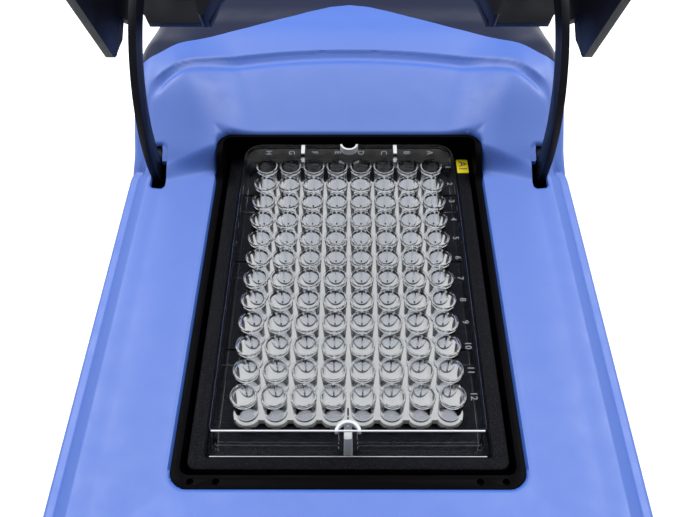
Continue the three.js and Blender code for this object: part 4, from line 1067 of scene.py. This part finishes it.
# ---------------------------------------------------------------- floor and world
FLOOR_HALF = 4000
floor = make([(x, y, FLOOR_Z) for x, y in rect(-FLOOR_HALF, FLOOR_HALF, -FLOOR_HALF, FLOOR_HALF)],
             [(0, 1, 2, 3)], "floor")
material, nt, bsdf, _ = node_material("m_floor")
nt.links.new(mix_color(nt, remap(nt, noise(nt, scale=6), source=(0.3, 0.7)),
                       (0.86, 0.86, 0.87), (0.9, 0.9, 0.9)), bsdf.inputs["Base Color"])
bsdf.inputs["Roughness"].default_value = 0.8
bsdf.inputs["Emission Color"].default_value = (1, 1, 1, 1)
bsdf.inputs["Emission Strength"].default_value = 0.3
floor.data.materials.append(material)

# white surroundings that brighten upwards
HORIZON_STRENGTH, SKY_GAIN = 0.3, 0.15
world = bpy.data.worlds.new("world")
scene.world = world
world.use_nodes = True
nt = world.node_tree
background = nt.nodes["Background"]
coords = nt.nodes.new("ShaderNodeTexCoord")
direction = nt.nodes.new("ShaderNodeSeparateXYZ")
nt.links.new(coords.outputs["Generated"], direction.inputs[0])
height = nt.nodes.new("ShaderNodeMapRange")
height.interpolation_type = "SMOOTHSTEP"
height.inputs["From Min"].default_value = -0.1
height.inputs["From Max"].default_value = 0.6
nt.links.new(direction.outputs[2], height.inputs["Value"])
gain = math_node(nt, "MULTIPLY", height.outputs[0], SKY_GAIN)
nt.links.new(math_node(nt, "ADD", gain, HORIZON_STRENGTH), background.inputs[1])
background.inputs[0].default_value = (1, 1, 1, 1)


# ---------------------------------------------------------------- lights, in metres and watts
def soft_box(name, location, target=(0, 0, 0.09), size=0.8, power=17.2):
    light = bpy.data.lights.new(name, "AREA")
    light.energy = power
    light.shape = "SQUARE"
    light.size = size
    ob = add_object(name, light)
    ob.location = location
    aim = Vector(target) - Vector(location)
    ob.rotation_euler = aim.to_track_quat("-Z", "Y").to_euler()
    return ob


def mesh_collection(name, wanted):
    collection = bpy.data.collections.new(name)
    for ob in list(scene.objects):
        if ob.type == "MESH" and wanted(ob.name):
            collection.objects.link(ob)
    return collection


lamps = [soft_box("soft_left", (-0.66, 0.46, 1.15)), soft_box("soft_right", (0.66, 0.46, 1.15))]
# the open hood does not keep the soft boxes off the panel beneath it
HOOD_PARTS = ("hood_shell", "hood_liner", "hood_arm")
shade = mesh_collection("shade", lambda name: not any(part in name for part in HOOD_PARTS))
# the clear plate mirrors only the even surroundings
lit = mesh_collection("lit", lambda name: name != "microplate_clear")
for lamp in lamps:
    lamp.light_linking.blocker_collection = shade
    lamp.light_linking.receiver_collection = lit

# ---------------------------------------------------------------- camera
CAMERA_PLACE = (1.132, -161.698, 202.181)   # mm, in the plate's frame
LOOK_DOWN, ROLL, AZIMUTH = (math.radians(a) for a in (50.722, -0.163, -0.228))
camera_data = bpy.data.cameras.new("camera")
camera_data.sensor_width = 36.0
camera_data.lens = 38.84605714
camera_data.clip_start, camera_data.clip_end = 0.01, 50
camera = add_object("camera", camera_data)
forward = Vector((math.sin(AZIMUTH) * math.cos(LOOK_DOWN),
                  math.cos(AZIMUTH) * math.cos(LOOK_DOWN), -math.sin(LOOK_DOWN)))
level_right = forward.cross(Vector((0, 0, 1))).normalized()
level_up = level_right.cross(forward)
right = level_right * math.cos(ROLL) + level_up * math.sin(ROLL)
up = -level_right * math.sin(ROLL) + level_up * math.cos(ROLL)
rotation = Matrix((right, up, -forward)).transposed()
camera.matrix_world = Matrix.Translation(Vector(to_m(CAMERA_PLACE)[0])) @ rotation.to_4x4()
scene.camera = camera
scene.view_settings.view_transform = "Standard"
scene.view_settings.look = "None"
